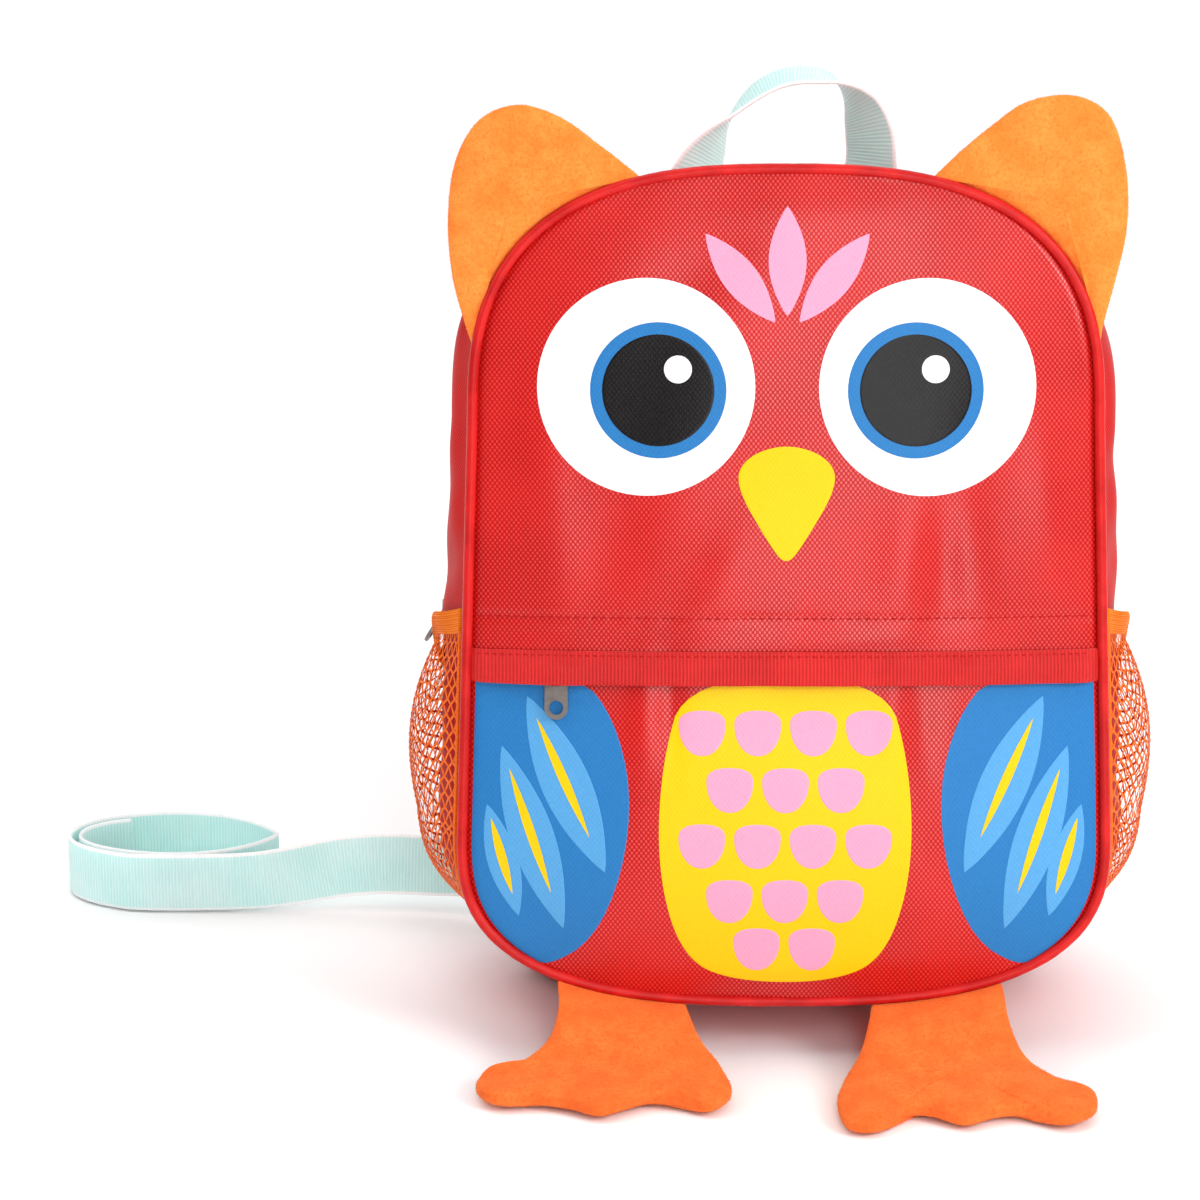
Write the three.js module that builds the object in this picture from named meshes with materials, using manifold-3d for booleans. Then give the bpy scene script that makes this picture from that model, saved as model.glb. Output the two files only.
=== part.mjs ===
// Toddler's owl backpack with plush ears and feet, net side pockets, a grab handle and a walking rein.
// Millimetres, +Z up, front towards -Y, left and right as seen from the front.
// The origin is the middle of the base, on the floor.
import * as THREE from "three";
import { mergeVertices } from "three/addons/utils/BufferGeometryUtils.js";
import Module from "manifold-3d";

const { clamp, degToRad, lerp, smoothstep } = THREE.MathUtils;
const wasm = await Module();
wasm.setup();

// Driving dimensions
const FRONT = { height: 280, baseHalf: 108, shoulderHalf: 104, baseCorner: 55, topArch: 83 };
const BACK = { height: 262, baseHalf: 106, shoulderHalf: 100, baseCorner: 52, topArch: 78 };
const FRONT_SEAM = { y: -48, z: 20, lean: degToRad(12) };
const BACK_SEAM = { y: 52, z: 10, lean: degToRad(2) };
const CORNER_POWER = 2.7;
const WALL = 1.6;
const GAP = 0.35;
const PIPING_RADIUS = 1.8;
const PANEL_INSET = 2.5;
const CROWN = { front: 9, pocket: 5, back: 5 };
const BULGE = { side: 10, top: 3, base: 24, sideShape: 1.5, baseShape: 1, baseLag: 1.8, baseFrom: 0.6,
  cornerTo: 0.7 };
const BASE_SHARES = [0.12, 0.24, 0.36, 0.46, 0.6, 0.75, 0.88];

const POCKET_TOP = 113;
const COVER_TAPE = { bottom: 109.5, top: 120.5, thickness: 1, seamLift: 0.4, edgeLift: 2.2, humpLift: 1.9,
  humpHalf: 14 };
const FRONT_ZIP = { bottom: 113.4, top: 118, thickness: 1.2, sliderAcross: -76, sliderHeight: 112 };
const MAIN_ZIP = { width: 10, thickness: 1.2, middle: 0.64, endHeight: 118, sliderHeight: 126 };

const SIDE_POCKET = { top: 133, elastic: 9.5, bottomTurn: 0.145, elasticWall: 1.2, netWall: 1, seamLift: 1.1,
  mouth: 4.7, sag: 5.5, dip: 18, dipAt: 0.68, dipHalf: 0.15, belly: 9.5, edge: 0.07, rows: 8, columns: 6,
  strand: 0.24 };

const EAR = { setback: 3.4, halfThickness: 4.5, edgeHalf: 0.9, baseClear: 2.4, baseTop: 0.386,
  baseBottom: 0.06 };
const FOOT = { halfThickness: 4.4, edgeHalf: 1.2, baseDrop: 4.2, bend: 38 };

const WEBBING = { width: 22, thickness: 1.6 };
const SHOULDER_STRAP = { width: 36, thickness: 6, padEnd: 0.74, adjusterEnd: 0.79, webbingWidth: 20,
  plate: 3 };
const REIN_COIL = { x: -216.3, y: 93.4, halfLong: 39.2, halfShort: 21.8, startAngle: 248, turns: 1.35,
  step: 3.4, curlIn: 9, pinch: 0.5, steps: 38 };

const SLIDER = { halfWidth: 3.6, lift: 0.3, plate: 0.6, pivot: 1.7, window: 0.8, bar: 0.7, top: 1.8,
  bottom: -1.5, leg: 0.8, bailHalf: 0.8, nose: 4.6 };
const PULL = { halfWidth: 3.9, length: 14.6, thickness: 0.9, barHalf: 0.45, slotHalf: 1.5, slotEnd: 3.4,
  ringRadius: 4, ringHole: 2.4, tabEnd: 8.2 };
const MAIN_PULL_REST = degToRad(29);

// Free edge of each ear, from its upper to its lower end: across and height on the front
const EAR_EDGES = {
  left: [
    { u: -62, v: 288 }, { u: -75, v: 297 }, { u: -89, v: 301 }, { u: -101, v: 296.5 },
    { u: -109, v: 284 }, { u: -112, v: 264 }, { u: -110.5, v: 244 }, { u: -106.5, v: 229 },
  ],
  right: [
    { u: 58.5, v: 287 }, { u: 68.5, v: 295 }, { u: 79, v: 302 }, { u: 95, v: 304 },
    { u: 106, v: 298 }, { u: 112, v: 280 }, { u: 112.5, v: 260 }, { u: 109, v: 243 }, { u: 105.5, v: 229 },
  ],
};

// Outline of each foot on the floor, round the toes from one end of its seam to the other
const FOOT_EDGES = {
  left: [
    { x: -76, y: -58 }, { x: -79, y: -66.5 }, { x: -88, y: -73.5 }, { x: -100, y: -75.5 },
    { x: -103, y: -83 }, { x: -97, y: -92 }, { x: -83, y: -91 }, { x: -72, y: -94 }, { x: -62, y: -99.5 },
    { x: -53, y: -94.5 }, { x: -45, y: -90 }, { x: -35, y: -91.5 }, { x: -25, y: -96 }, { x: -18, y: -86 },
    { x: -21, y: -74.5 }, { x: -27, y: -65 }, { x: -31, y: -56 },
  ],
  right: [
    { x: 28.5, y: -57 }, { x: 25, y: -68 }, { x: 18.5, y: -81.5 }, { x: 16.5, y: -96 }, { x: 20, y: -109 },
    { x: 28, y: -110 }, { x: 38, y: -99.5 }, { x: 46, y: -99 }, { x: 58, y: -106 }, { x: 68, y: -100.5 },
    { x: 78, y: -99.5 }, { x: 91, y: -106.5 }, { x: 101, y: -100 }, { x: 101, y: -86 }, { x: 90, y: -78 },
    { x: 81, y: -72 }, { x: 76, y: -63 },
  ],
};
const FOOT_SEAMS = { left: { from: -76, to: -33 }, right: { from: 30, to: 73.5 } };

// Grab handle: middle of the webbing, and the turn of its width about the upright, in degrees
const HANDLE_ROUTE = [
  { x: -29, y: 65.6, z: 258, turn: 180 },
  { x: -29.5, y: 65.6, z: 268, turn: 180 },
  { x: -27.7, y: 67.5, z: 278, turn: 214 },
  { x: -23.2, y: 70, z: 287, turn: 234 },
  { x: -17.2, y: 72.5, z: 295.5, turn: 257 },
  { x: -8.5, y: 74, z: 304, turn: 271 },
  { x: 0.5, y: 74.5, z: 308.6, turn: 274 },
  { x: 10, y: 74, z: 309.8, turn: 278 },
  { x: 18.5, y: 73, z: 308, turn: 287 },
  { x: 26, y: 71, z: 301.5, turn: 305 },
  { x: 30, y: 68.5, z: 291.5, turn: 316 },
  { x: 30.8, y: 66.8, z: 279, turn: 322 },
  { x: 29.5, y: 65.6, z: 268, turn: 360 },
  { x: 28.5, y: 65.6, z: 258, turn: 360 },
];

// Shoulder strap, right-hand side: across, height and distance behind the back seam
const STRAP_ROUTE = [
  { u: 30, v: 222, behind: 8.8 },
  { u: 31, v: 234, behind: 10.8 },
  { u: 34, v: 241, behind: 22 },
  { u: 39, v: 233, behind: 36 },
  { u: 46, v: 200, behind: 44 },
  { u: 55, v: 152, behind: 44 },
  { u: 62, v: 110, behind: 35 },
  { u: 66.5, v: 80, behind: 26 },
  { u: 72, v: 54, behind: 15 },
  { u: 79, v: 32, behind: 5 },
  { u: 83, v: 18, behind: 3.6 },
];

// Walking rein from its sewn end to its coil: middle of the webbing, and its lean backwards in degrees
const REIN_ROUTE = [
  { x: 14, y: 58.6, z: 26, lean: 2 },
  { x: -14, y: 58.6, z: 26, lean: 2 },
  { x: -40, y: 58.9, z: 25, lean: 4 },
  { x: -66, y: 61.5, z: 23, lean: 8 },
  { x: -92, y: 68, z: 19.5, lean: 13 },
  { x: -119.5, y: 75, z: 17, lean: 16 },
  { x: -140, y: 78.3, z: 16.3, lean: 19 },
  { x: -155, y: 78.3, z: 15.2, lean: 18 },
  { x: -171, y: 76.2, z: 13, lean: 9 },
  { x: -187, y: 73.6, z: 11.8, lean: 2 },
];

// Finishes
const FINISHES = {
  redPolyester: { color: 0xdb2b26, roughness: 0.6, metalness: 0 },
  redPiping: { color: 0xd8261f, roughness: 0.35, metalness: 0 },
  redTape: { color: 0xcf1f22, roughness: 0.7, metalness: 0 },
  orangePlush: { color: 0xf58020, roughness: 0.95, metalness: 0 },
  orangeNet: { color: 0xf0762a, roughness: 0.7, metalness: 0 },
  mintWebbing: { color: 0xcdeee6, roughness: 0.6, metalness: 0 },
  mintPlastic: { color: 0xbfe3da, roughness: 0.45, metalness: 0 },
  zipMetal: { color: 0x8f9296, roughness: 0.35, metalness: 1 },
};

// Solids from points

const X_AXIS = new THREE.Vector3(1, 0, 0);
const Z_AXIS = new THREE.Vector3(0, 0, 1);

// A closed body from points and triangles, turned so that its faces point out.
function closedBody(points, triangles) {
  const volume = triangles.reduce((sum, [a, b, c]) => {
    return sum + points[a].dot(points[b].clone().cross(points[c]));
  }, 0);
  const faces = volume < 0 ? triangles.map(([a, b, c]) => [a, c, b]) : triangles;
  const geometry = new THREE.BufferGeometry();
  const positions = points.flatMap((point) => point.toArray());
  geometry.setAttribute("position", new THREE.Float32BufferAttribute(positions, 3));
  geometry.setIndex(faces.flat());
  geometry.computeVertexNormals();
  return geometry;
}

// Index of a grid point: the outer layer first, then the inner one.
function gridIndex(rows, columns) {
  return (layer, i, j) => (layer * rows + i) * columns + j;
}

// The rim that joins the two layers of a wall.
function rimTriangles(rows, columns) {
  const at = gridIndex(rows, columns);
  const around = [];
  for (let j = 0; j < columns - 1; j += 1) around.push([0, j]);
  for (let i = 0; i < rows - 1; i += 1) around.push([i, columns - 1]);
  for (let j = columns - 1; j > 0; j -= 1) around.push([rows - 1, j]);
  for (let i = rows - 1; i > 0; i -= 1) around.push([i, 0]);
  return around.flatMap(([i, j], k) => {
    const [m, n] = around[(k + 1) % around.length];
    return [
      [at(0, m, n), at(0, i, j), at(1, i, j)],
      [at(0, m, n), at(1, i, j), at(1, m, n)],
    ];
  });
}

// A cloth wall between an outer and an inner grid of points.
function clothWall(outer, inner) {
  const rows = outer.length;
  const columns = outer[0].length;
  const at = gridIndex(rows, columns);
  const triangles = rimTriangles(rows, columns);
  for (let i = 0; i < rows - 1; i += 1) {
    for (let j = 0; j < columns - 1; j += 1) {
      triangles.push([at(0, i, j), at(0, i, j + 1), at(0, i + 1, j + 1)]);
      triangles.push([at(0, i, j), at(0, i + 1, j + 1), at(0, i + 1, j)]);
      triangles.push([at(1, i, j), at(1, i + 1, j + 1), at(1, i, j + 1)]);
      triangles.push([at(1, i, j), at(1, i + 1, j), at(1, i + 1, j + 1)]);
    }
  }
  return closedBody([...outer.flat(), ...inner.flat()], triangles);
}

// A net between two grids: a diamond gap goes through every cell.
function netWall(outer, inner, strand) {
  const rows = outer.length;
  const columns = outer[0].length;
  const at = gridIndex(rows, columns);
  const layers = [outer, inner];
  const points = [...outer.flat(), ...inner.flat()];
  const triangles = rimTriangles(rows, columns);
  for (let i = 0; i < rows - 1; i += 1) {
    for (let j = 0; j < columns - 1; j += 1) {
      const corners = [[i, j], [i, j + 1], [i + 1, j + 1], [i + 1, j]];
      const gap = layers.map((grid) => {
        const cell = corners.map(([m, n]) => grid[m][n]);
        const middle = cell.reduce((sum, point) => sum.add(point), new THREE.Vector3()).divideScalar(4);
        return cell.map((point, k) => {
          const side = point.clone().lerp(cell[(k + 1) % 4], 0.5);
          return points.push(side.lerp(middle, strand)) - 1;
        });
      });
      for (let k = 0; k < 4; k += 1) {
        const next = (k + 1) % 4;
        const [outerHere, outerNext, innerHere, innerNext] = [0, 1].flatMap((layer) => {
          return [at(layer, ...corners[k]), at(layer, ...corners[next])];
        });
        triangles.push([outerHere, outerNext, gap[0][k]], [gap[0][k], outerNext, gap[0][next]]);
        triangles.push([innerNext, innerHere, gap[1][k]], [innerNext, gap[1][k], gap[1][next]]);
        triangles.push([gap[0][k], gap[0][next], gap[1][next]], [gap[0][k], gap[1][next], gap[1][k]]);
      }
    }
  }
  return closedBody(points, triangles);
}

// A thin stuffed form inside a rim, thickest in the middle; toSpace places a point of its plan.
function stuffedForm(rim, halfThickness, edgeHalf, toSpace) {
  const rings = [1, 0.9, 0.66, 0.34];
  const middle = rim.reduce((sum, point) => sum.add(point), new THREE.Vector2()).divideScalar(rim.length);
  const count = rim.length;
  const points = [];
  for (const side of [1, -1]) {
    for (const ring of rings) {
      const half = edgeHalf + (halfThickness - edgeHalf) * Math.sqrt(1 - ring ** 3);
      rim.forEach((point) => points.push(toSpace(middle.clone().lerp(point, ring), side * half)));
    }
    points.push(toSpace(middle, side * halfThickness));
  }
  const layer = rings.length * count + 1;
  const triangles = [];
  for (let k = 0; k < count; k += 1) {
    const next = (k + 1) % count;
    for (let r = 0; r < rings.length - 1; r += 1) {
      const [a, b, c, d] = [r * count + k, r * count + next, (r + 1) * count + next, (r + 1) * count + k];
      triangles.push([a, b, c], [a, c, d]);
      triangles.push([layer + a, layer + c, layer + b], [layer + a, layer + d, layer + c]);
    }
    const [a, b] = [(rings.length - 1) * count + k, (rings.length - 1) * count + next];
    triangles.push([a, b, layer - 1], [layer + a, 2 * layer - 1, layer + b]);
    triangles.push([k, layer + next, next], [k, layer + k, layer + next]);
  }
  return closedBody(points, triangles);
}

// A section carried along stations that each give a place, the way across and the way through.
function sweep(stations, section) {
  const count = section.length;
  const points = stations.flatMap(({ place, across, through }) => section.map(({ a, t }) => {
    return place.clone().addScaledVector(across, a).addScaledVector(through, t);
  }));
  const triangles = [];
  for (let i = 0; i < stations.length - 1; i += 1) {
    for (let k = 0; k < count; k += 1) {
      const next = (k + 1) % count;
      const [a, b, c, d] = [i * count + k, i * count + next, (i + 1) * count + next, (i + 1) * count + k];
      triangles.push([a, b, c], [a, c, d]);
    }
  }
  const last = (stations.length - 1) * count;
  for (let k = 1; k < count - 1; k += 1) {
    triangles.push([0, k + 1, k], [last, last + k, last + k + 1]);
  }
  return closedBody(points, triangles);
}

function flatSection(width, thickness) {
  const [a, t] = [width / 2, thickness / 2];
  return [{ a: -a, t: -t }, { a, t: -t }, { a, t }, { a: -a, t }];
}

function paddedSection(width, thickness) {
  const [a, t] = [width / 2, thickness / 2];
  const inner = a - t;
  return [
    { a: -inner, t: -t }, { a: inner, t: -t }, { a: a - 0.3 * t, t: -0.6 * t }, { a, t: 0 },
    { a: a - 0.3 * t, t: 0.6 * t }, { a: inner, t }, { a: -inner, t }, { a: 0.3 * t - a, t: 0.6 * t },
    { a: -a, t: 0 }, { a: 0.3 * t - a, t: -0.6 * t },
  ];
}

// A station whose width lies as near as it can to the wanted direction.
function station(place, tangent, wanted) {
  const across = wanted.clone().addScaledVector(tangent, -wanted.dot(tangent)).normalize();
  return { place, across, through: tangent.clone().cross(across) };
}

function toManifold(geometry) {
  const plain = geometry.clone();
  plain.deleteAttribute("normal");
  plain.deleteAttribute("uv");
  const merged = mergeVertices(plain, 1e-4);
  return new wasm.Manifold(new wasm.Mesh({
    numProp: 3,
    vertProperties: new Float32Array(merged.attributes.position.array),
    triVerts: new Uint32Array(merged.index.array),
  }));
}

function joined(first, second) {
  const mesh = toManifold(first).add(toManifold(second)).getMesh();
  const geometry = new THREE.BufferGeometry();
  geometry.setAttribute("position", new THREE.Float32BufferAttribute(mesh.vertProperties, 3));
  geometry.setIndex([...mesh.triVerts]);
  geometry.computeVertexNormals();
  return geometry;
}

// Outlines of the front and back

const rounded = (share) => (1 - share ** CORNER_POWER) ** (1 / CORNER_POWER);
const softPower = (value) => Math.sign(value) * Math.abs(value) ** (2 / CORNER_POWER);

function halfWidth(size, v) {
  const shoulder = size.height - size.topArch;
  const side = clamp((v - size.baseCorner) / (shoulder - size.baseCorner), 0, 1);
  const below = clamp((size.baseCorner - v) / size.baseCorner, 0, 1);
  const above = clamp((v - shoulder) / size.topArch, 0, 1);
  return lerp(size.baseHalf, size.shoulderHalf, side) * rounded(below) * rounded(above);
}

// Point of an outline: turn 0 to 1 climbs the right side, 1 to 2 is the arch,
// 2 to 3 goes down the left side and 3 to 4 is the base.
function outlinePoint(size, turn) {
  const quarter = Math.floor(turn) % 4;
  const share = turn - Math.floor(turn);
  const shoulder = size.height - size.topArch;
  const angle = share * Math.PI;
  if (quarter === 1) {
    return new THREE.Vector2(size.shoulderHalf * softPower(Math.cos(angle)),
      shoulder + size.topArch * softPower(Math.sin(angle)));
  }
  if (quarter === 3) {
    return new THREE.Vector2(-size.baseHalf * softPower(Math.cos(angle)),
      size.baseCorner * (1 - softPower(Math.sin(angle))));
  }
  const climb = quarter === 0 ? share : 1 - share;
  const across = lerp(size.baseHalf, size.shoulderHalf, climb);
  return new THREE.Vector2(quarter === 0 ? across : -across, lerp(size.baseCorner, shoulder, climb));
}

function outwardAt(size, turn) {
  const step = 0.01;
  const along = outlinePoint(size, turn + step).sub(outlinePoint(size, turn + 4 - step));
  return new THREE.Vector2(along.y, -along.x).normalize();
}

// Turn at which the left or right side reaches a height.
function sideTurn(height, side) {
  const share = (height - FRONT.baseCorner) / (FRONT.height - FRONT.topArch - FRONT.baseCorner);
  return side === "right" ? share : 3 - share;
}

function evenly(from, to, count) {
  return Array.from({ length: count + 1 }, (_, k) => lerp(from, to, k / count));
}

function insetSize(size, by) {
  return {
    height: size.height - 2 * by,
    baseHalf: size.baseHalf - by,
    shoulderHalf: size.shoulderHalf - by,
    baseCorner: size.baseCorner - by,
    topArch: size.topArch - by,
  };
}

// Front and back surfaces

function seamFrame({ y, z, lean }) {
  return {
    origin: new THREE.Vector3(0, y, z),
    up: new THREE.Vector3(0, Math.sin(lean), Math.cos(lean)),
    ahead: new THREE.Vector3(0, -Math.cos(lean), Math.sin(lean)),
  };
}

const frontFrame = seamFrame(FRONT_SEAM);
const backFrame = seamFrame(BACK_SEAM);

function inFrame(frame, u, v, ahead) {
  return frame.origin.clone()
    .addScaledVector(X_AXIS, u)
    .addScaledVector(frame.up, v)
    .addScaledVector(frame.ahead, ahead);
}

function frontCrown(u, v) {
  const across = clamp(Math.abs(u) / Math.max(halfWidth(FRONT, v), 1), 0, 1);
  const up = clamp(2 * v / FRONT.height - 1, -1, 1);
  const whole = CROWN.front * (1 - across ** 2.4) * (1 - Math.abs(up) ** 5);
  const belly = CROWN.pocket * (1 - across ** 2) * Math.sin(Math.PI * clamp(v / POCKET_TOP, 0, 1));
  return whole + belly;
}

function backCrown(u, v) {
  const across = clamp(Math.abs(u) / Math.max(halfWidth(BACK, v), 1), 0, 1);
  const up = clamp(2 * v / BACK.height - 1, -1, 1);
  return CROWN.back * (1 - across ** 2) * (1 - up ** 4);
}

const frontPoint = (u, v, lift) => inFrame(frontFrame, u, v, frontCrown(u, v) + lift);
const backPoint = (u, v, behind) => inFrame(backFrame, u, v, -backCrown(u, v) - behind);

// Heights at which a panel is sampled, closest together round its corners.
function panelHeights(size, from, to) {
  const bends = [0.995, 0.97, 0.9, 0.78, 0.6, 0.38, 0.16];
  const shoulder = size.height - size.topArch;
  const heights = [
    ...bends.map((share) => size.baseCorner * (1 - share)),
    ...evenly(size.baseCorner, shoulder, 6),
    ...[...bends].reverse().map((share) => shoulder + size.topArch * share),
  ];
  const inside = heights.filter((v) => v > from + 2 && v < to - 2);
  return [from, ...inside, to];
}

// A panel between two heights, set in from its outline.
function panelWall(size, pointAt, { inset, from, to, columns, outerLift, innerLift }) {
  const inner = insetSize(size, inset);
  const lowest = Math.max(from - inset, inner.baseCorner * 0.002);
  const highest = Math.min(to - inset, inner.height * 0.9995);
  const heights = panelHeights(inner, lowest, highest);
  const shares = evenly(-1, 1, columns).map((share) => Math.sin(share * Math.PI / 2));
  const layer = (lift) => heights.map((v) => shares.map((share) => {
    return pointAt(share * halfWidth(inner, v), v + inset, lift);
  }));
  return clothWall(layer(outerLift), layer(innerLift));
}

// Gusset: the band between the front and back seams

const gussetUp = frontFrame.up.clone().add(backFrame.up).normalize();

function seamPoint(frame, size, turn) {
  const { x, y } = outlinePoint(size, turn);
  return inFrame(frame, x, y, 0);
}

function gussetDepth(turn) {
  return seamPoint(frontFrame, FRONT, turn).distanceTo(seamPoint(backFrame, BACK, turn));
}

function gussetOutward(turn) {
  const { x, y } = outwardAt(FRONT, turn);
  return new THREE.Vector3(x, 0, 0).addScaledVector(gussetUp, y);
}

// Point of the gusset at a share of its depth, lifted off its outer face. The bag leans back, so the base
// slopes down from the front seam and is flat where it stands on the floor.
function gussetPoint(turn, depthShare, lift) {
  const outward = gussetOutward(turn);
  const base = smoothstep(-outward.z, BULGE.baseFrom, 1);
  const corner = smoothstep(-outward.z, 0, BULGE.cornerTo);
  const top = smoothstep(outward.z, 0, 1);
  const height = lerp(lerp(BULGE.side, BULGE.base, base), BULGE.top, top);
  const shape = lerp(BULGE.sideShape, BULGE.baseShape, corner);
  const late = clamp(depthShare, 0, 1) ** lerp(1, BULGE.baseLag, corner);
  const bulge = height * Math.sin(Math.PI * late) ** shape;
  const point = seamPoint(frontFrame, FRONT, turn).lerp(seamPoint(backFrame, BACK, turn), depthShare);
  point.addScaledVector(outward, bulge + lift);
  point.z = Math.max(point.z, -lift, 0);
  return point;
}

function gussetWall(turns, depthShares, thickness) {
  const layer = (lift) => turns.map((turn) => {
    return depthShares(turn).map((share) => gussetPoint(turn, share, lift));
  });
  return clothWall(layer(0), layer(-thickness));
}

const frontShare = (turn) => (PIPING_RADIUS + GAP) / gussetDepth(turn);
const backShare = (turn) => 1 - GAP / gussetDepth(turn);
const zipHalfShare = (turn, clear) => (MAIN_ZIP.width / 2 + clear) / gussetDepth(turn);
const zipEnds = { right: sideTurn(MAIN_ZIP.endHeight, "right"), left: sideTurn(MAIN_ZIP.endHeight, "left") };
const archTurns = [
  ...evenly(zipEnds.right, 1, 2).slice(0, -1),
  ...evenly(1, 2, 20),
  ...evenly(2, zipEnds.left, 2).slice(1),
];
const turnGap = GAP / (FRONT.height - FRONT.topArch - FRONT.baseCorner);
const baseTurns = [
  ...evenly(zipEnds.left + turnGap, 3, 3).slice(0, -1),
  ...evenly(3, 4, 20),
  ...evenly(4, 4 + zipEnds.right - turnGap, 3).slice(1),
];

// Body

function frontPanel() {
  return panelWall(FRONT, frontPoint, {
    inset: PANEL_INSET, from: FRONT_ZIP.top + GAP, to: FRONT.height, columns: 12,
    outerLift: 0, innerLift: -WALL,
  });
}

function pocketPanel() {
  return panelWall(FRONT, frontPoint, {
    inset: PANEL_INSET, from: 0, to: POCKET_TOP, columns: 12, outerLift: 0, innerLift: -WALL,
  });
}

function backPanel() {
  return panelWall(BACK, backPoint, {
    inset: 0, from: 0, to: BACK.height, columns: 6, outerLift: WALL, innerLift: 0,
  });
}

function frontZip() {
  return panelWall(FRONT, frontPoint, {
    inset: PANEL_INSET, from: FRONT_ZIP.bottom, to: FRONT_ZIP.top, columns: 12,
    outerLift: 0, innerLift: -FRONT_ZIP.thickness,
  });
}

// The tape is sewn along its top, and stands off over the zip, most of all over the slider.
function coverTape() {
  const heights = evenly(COVER_TAPE.bottom, COVER_TAPE.top, 4);
  const shares = evenly(-1, 1, 18);
  const layer = (thickness) => heights.map((v) => shares.map((share) => {
    const u = share * (halfWidth(FRONT, v) - PANEL_INSET);
    const fall = smoothstep(COVER_TAPE.top - v, 0, 0.55 * (COVER_TAPE.top - COVER_TAPE.bottom));
    const hump = Math.exp(-(((u - FRONT_ZIP.sliderAcross) / COVER_TAPE.humpHalf) ** 2));
    const edge = smoothstep(1 - Math.abs(share), 0, 0.05);
    const lift = COVER_TAPE.edgeLift * edge + COVER_TAPE.humpLift * hump;
    return frontPoint(u, v, COVER_TAPE.seamLift + fall * lift + thickness);
  }));
  return clothWall(layer(COVER_TAPE.thickness), layer(0));
}

function piping() {
  const seam = evenly(0, 4, 64).slice(0, -1).map((turn) => seamPoint(frontFrame, FRONT, turn));
  const curve = new THREE.CatmullRomCurve3(seam, true);
  return new THREE.TubeGeometry(curve, 60, PIPING_RADIUS, 6, true);
}

function archStrip(from, to) {
  return gussetWall(archTurns, (turn) => evenly(from(turn), to(turn), 3), WALL);
}

const gussetFront = () => archStrip(frontShare, (turn) => MAIN_ZIP.middle - zipHalfShare(turn, GAP));
const gussetBack = () => archStrip((turn) => MAIN_ZIP.middle + zipHalfShare(turn, GAP), backShare);
const mainZip = () => gussetWall(archTurns, (turn) => {
  const half = zipHalfShare(turn, 0);
  return evenly(MAIN_ZIP.middle - half, MAIN_ZIP.middle + half, 1);
}, MAIN_ZIP.thickness);
const gussetBase = () => gussetWall(baseTurns, (turn) => {
  return [frontShare(turn), ...BASE_SHARES, backShare(turn)];
}, WALL);

// Side pockets

// The net lies on the gusset along its seams and swells between them. Its mouth sags, and dips under the
// main zip's pull.
function pocketPoint(side, fall, depth, lift) {
  const nearDip = Math.exp(-(((depth - SIDE_POCKET.dipAt) / SIDE_POCKET.dipHalf) ** 2));
  const sag = SIDE_POCKET.sag * Math.sin(Math.PI * depth) + SIDE_POCKET.dip * nearDip;
  const topTurn = sideTurn(SIDE_POCKET.top - sag, side);
  const bottomTurn = side === "right" ? 4 - SIDE_POCKET.bottomTurn : 3 + SIDE_POCKET.bottomTurn;
  const turn = lerp(side === "right" ? topTurn + 4 : topTurn, bottomTurn, fall);
  const depthShare = lerp(SIDE_POCKET.edge, 1 - SIDE_POCKET.edge, depth);
  const mouthAngle = Math.asin(SIDE_POCKET.mouth / SIDE_POCKET.belly);
  const filling = Math.sin(lerp(mouthAngle, Math.PI, fall)) * Math.sin(Math.PI * depth) ** 0.9;
  const swell = SIDE_POCKET.belly * filling;
  return gussetPoint(turn, depthShare, SIDE_POCKET.seamLift + swell + lift);
}

const pocketHeight = gussetLength("right");
function gussetLength(side) {
  const falls = evenly(0, 1, 12).map((fall) => {
    const turn = lerp(sideTurn(SIDE_POCKET.top, side) + 4, 4 - SIDE_POCKET.bottomTurn, fall);
    return seamPoint(frontFrame, FRONT, turn);
  });
  return falls.slice(1).reduce((sum, point, k) => sum + point.distanceTo(falls[k]), 0);
}

function pocketNet(side) {
  const falls = evenly((SIDE_POCKET.elastic + GAP) / pocketHeight, 1, SIDE_POCKET.rows);
  const depths = evenly(0, 1, SIDE_POCKET.columns);
  const layer = (lift) => falls.map((fall) => depths.map((depth) => pocketPoint(side, fall, depth, lift)));
  return netWall(layer(SIDE_POCKET.netWall), layer(0), SIDE_POCKET.strand);
}

function pocketElastic(side) {
  const falls = evenly(0, SIDE_POCKET.elastic / pocketHeight, 2);
  const depths = evenly(0, 1, SIDE_POCKET.columns);
  const layer = (lift) => falls.map((fall) => depths.map((depth) => pocketPoint(side, fall, depth, lift)));
  return clothWall(layer(SIDE_POCKET.elasticWall), layer(0));
}

// Plush ears and feet

function smoothEdge(points, count) {
  return new THREE.SplineCurve(points).getSpacedPoints(count);
}

function ear(side) {
  const mirror = (share) => (side === "right" ? 1 + share : 2 - share);
  const seam = evenly(EAR.baseTop, EAR.baseBottom, 8).map((share) => {
    const turn = mirror(share);
    return outlinePoint(FRONT, turn).addScaledVector(outwardAt(FRONT, turn), EAR.baseClear);
  });
  const free = EAR_EDGES[side].map(({ u, v }) => new THREE.Vector2(u, v));
  const edge = smoothEdge([seam[0], ...free, seam.at(-1)], 22);
  const rim = [...edge.slice(0, -1), ...seam.slice(1).reverse()];
  const toSpace = (plan, thickness) => inFrame(frontFrame, plan.x, plan.y, thickness - EAR.setback);
  return stuffedForm(rim, EAR.halfThickness, EAR.edgeHalf, toSpace);
}

// Height of the front outline's lower edge at a distance across.
function baseEdge(u) {
  return FRONT.baseCorner * (1 - rounded(clamp(Math.abs(u) / FRONT.baseHalf, 0, 0.95)));
}

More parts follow.
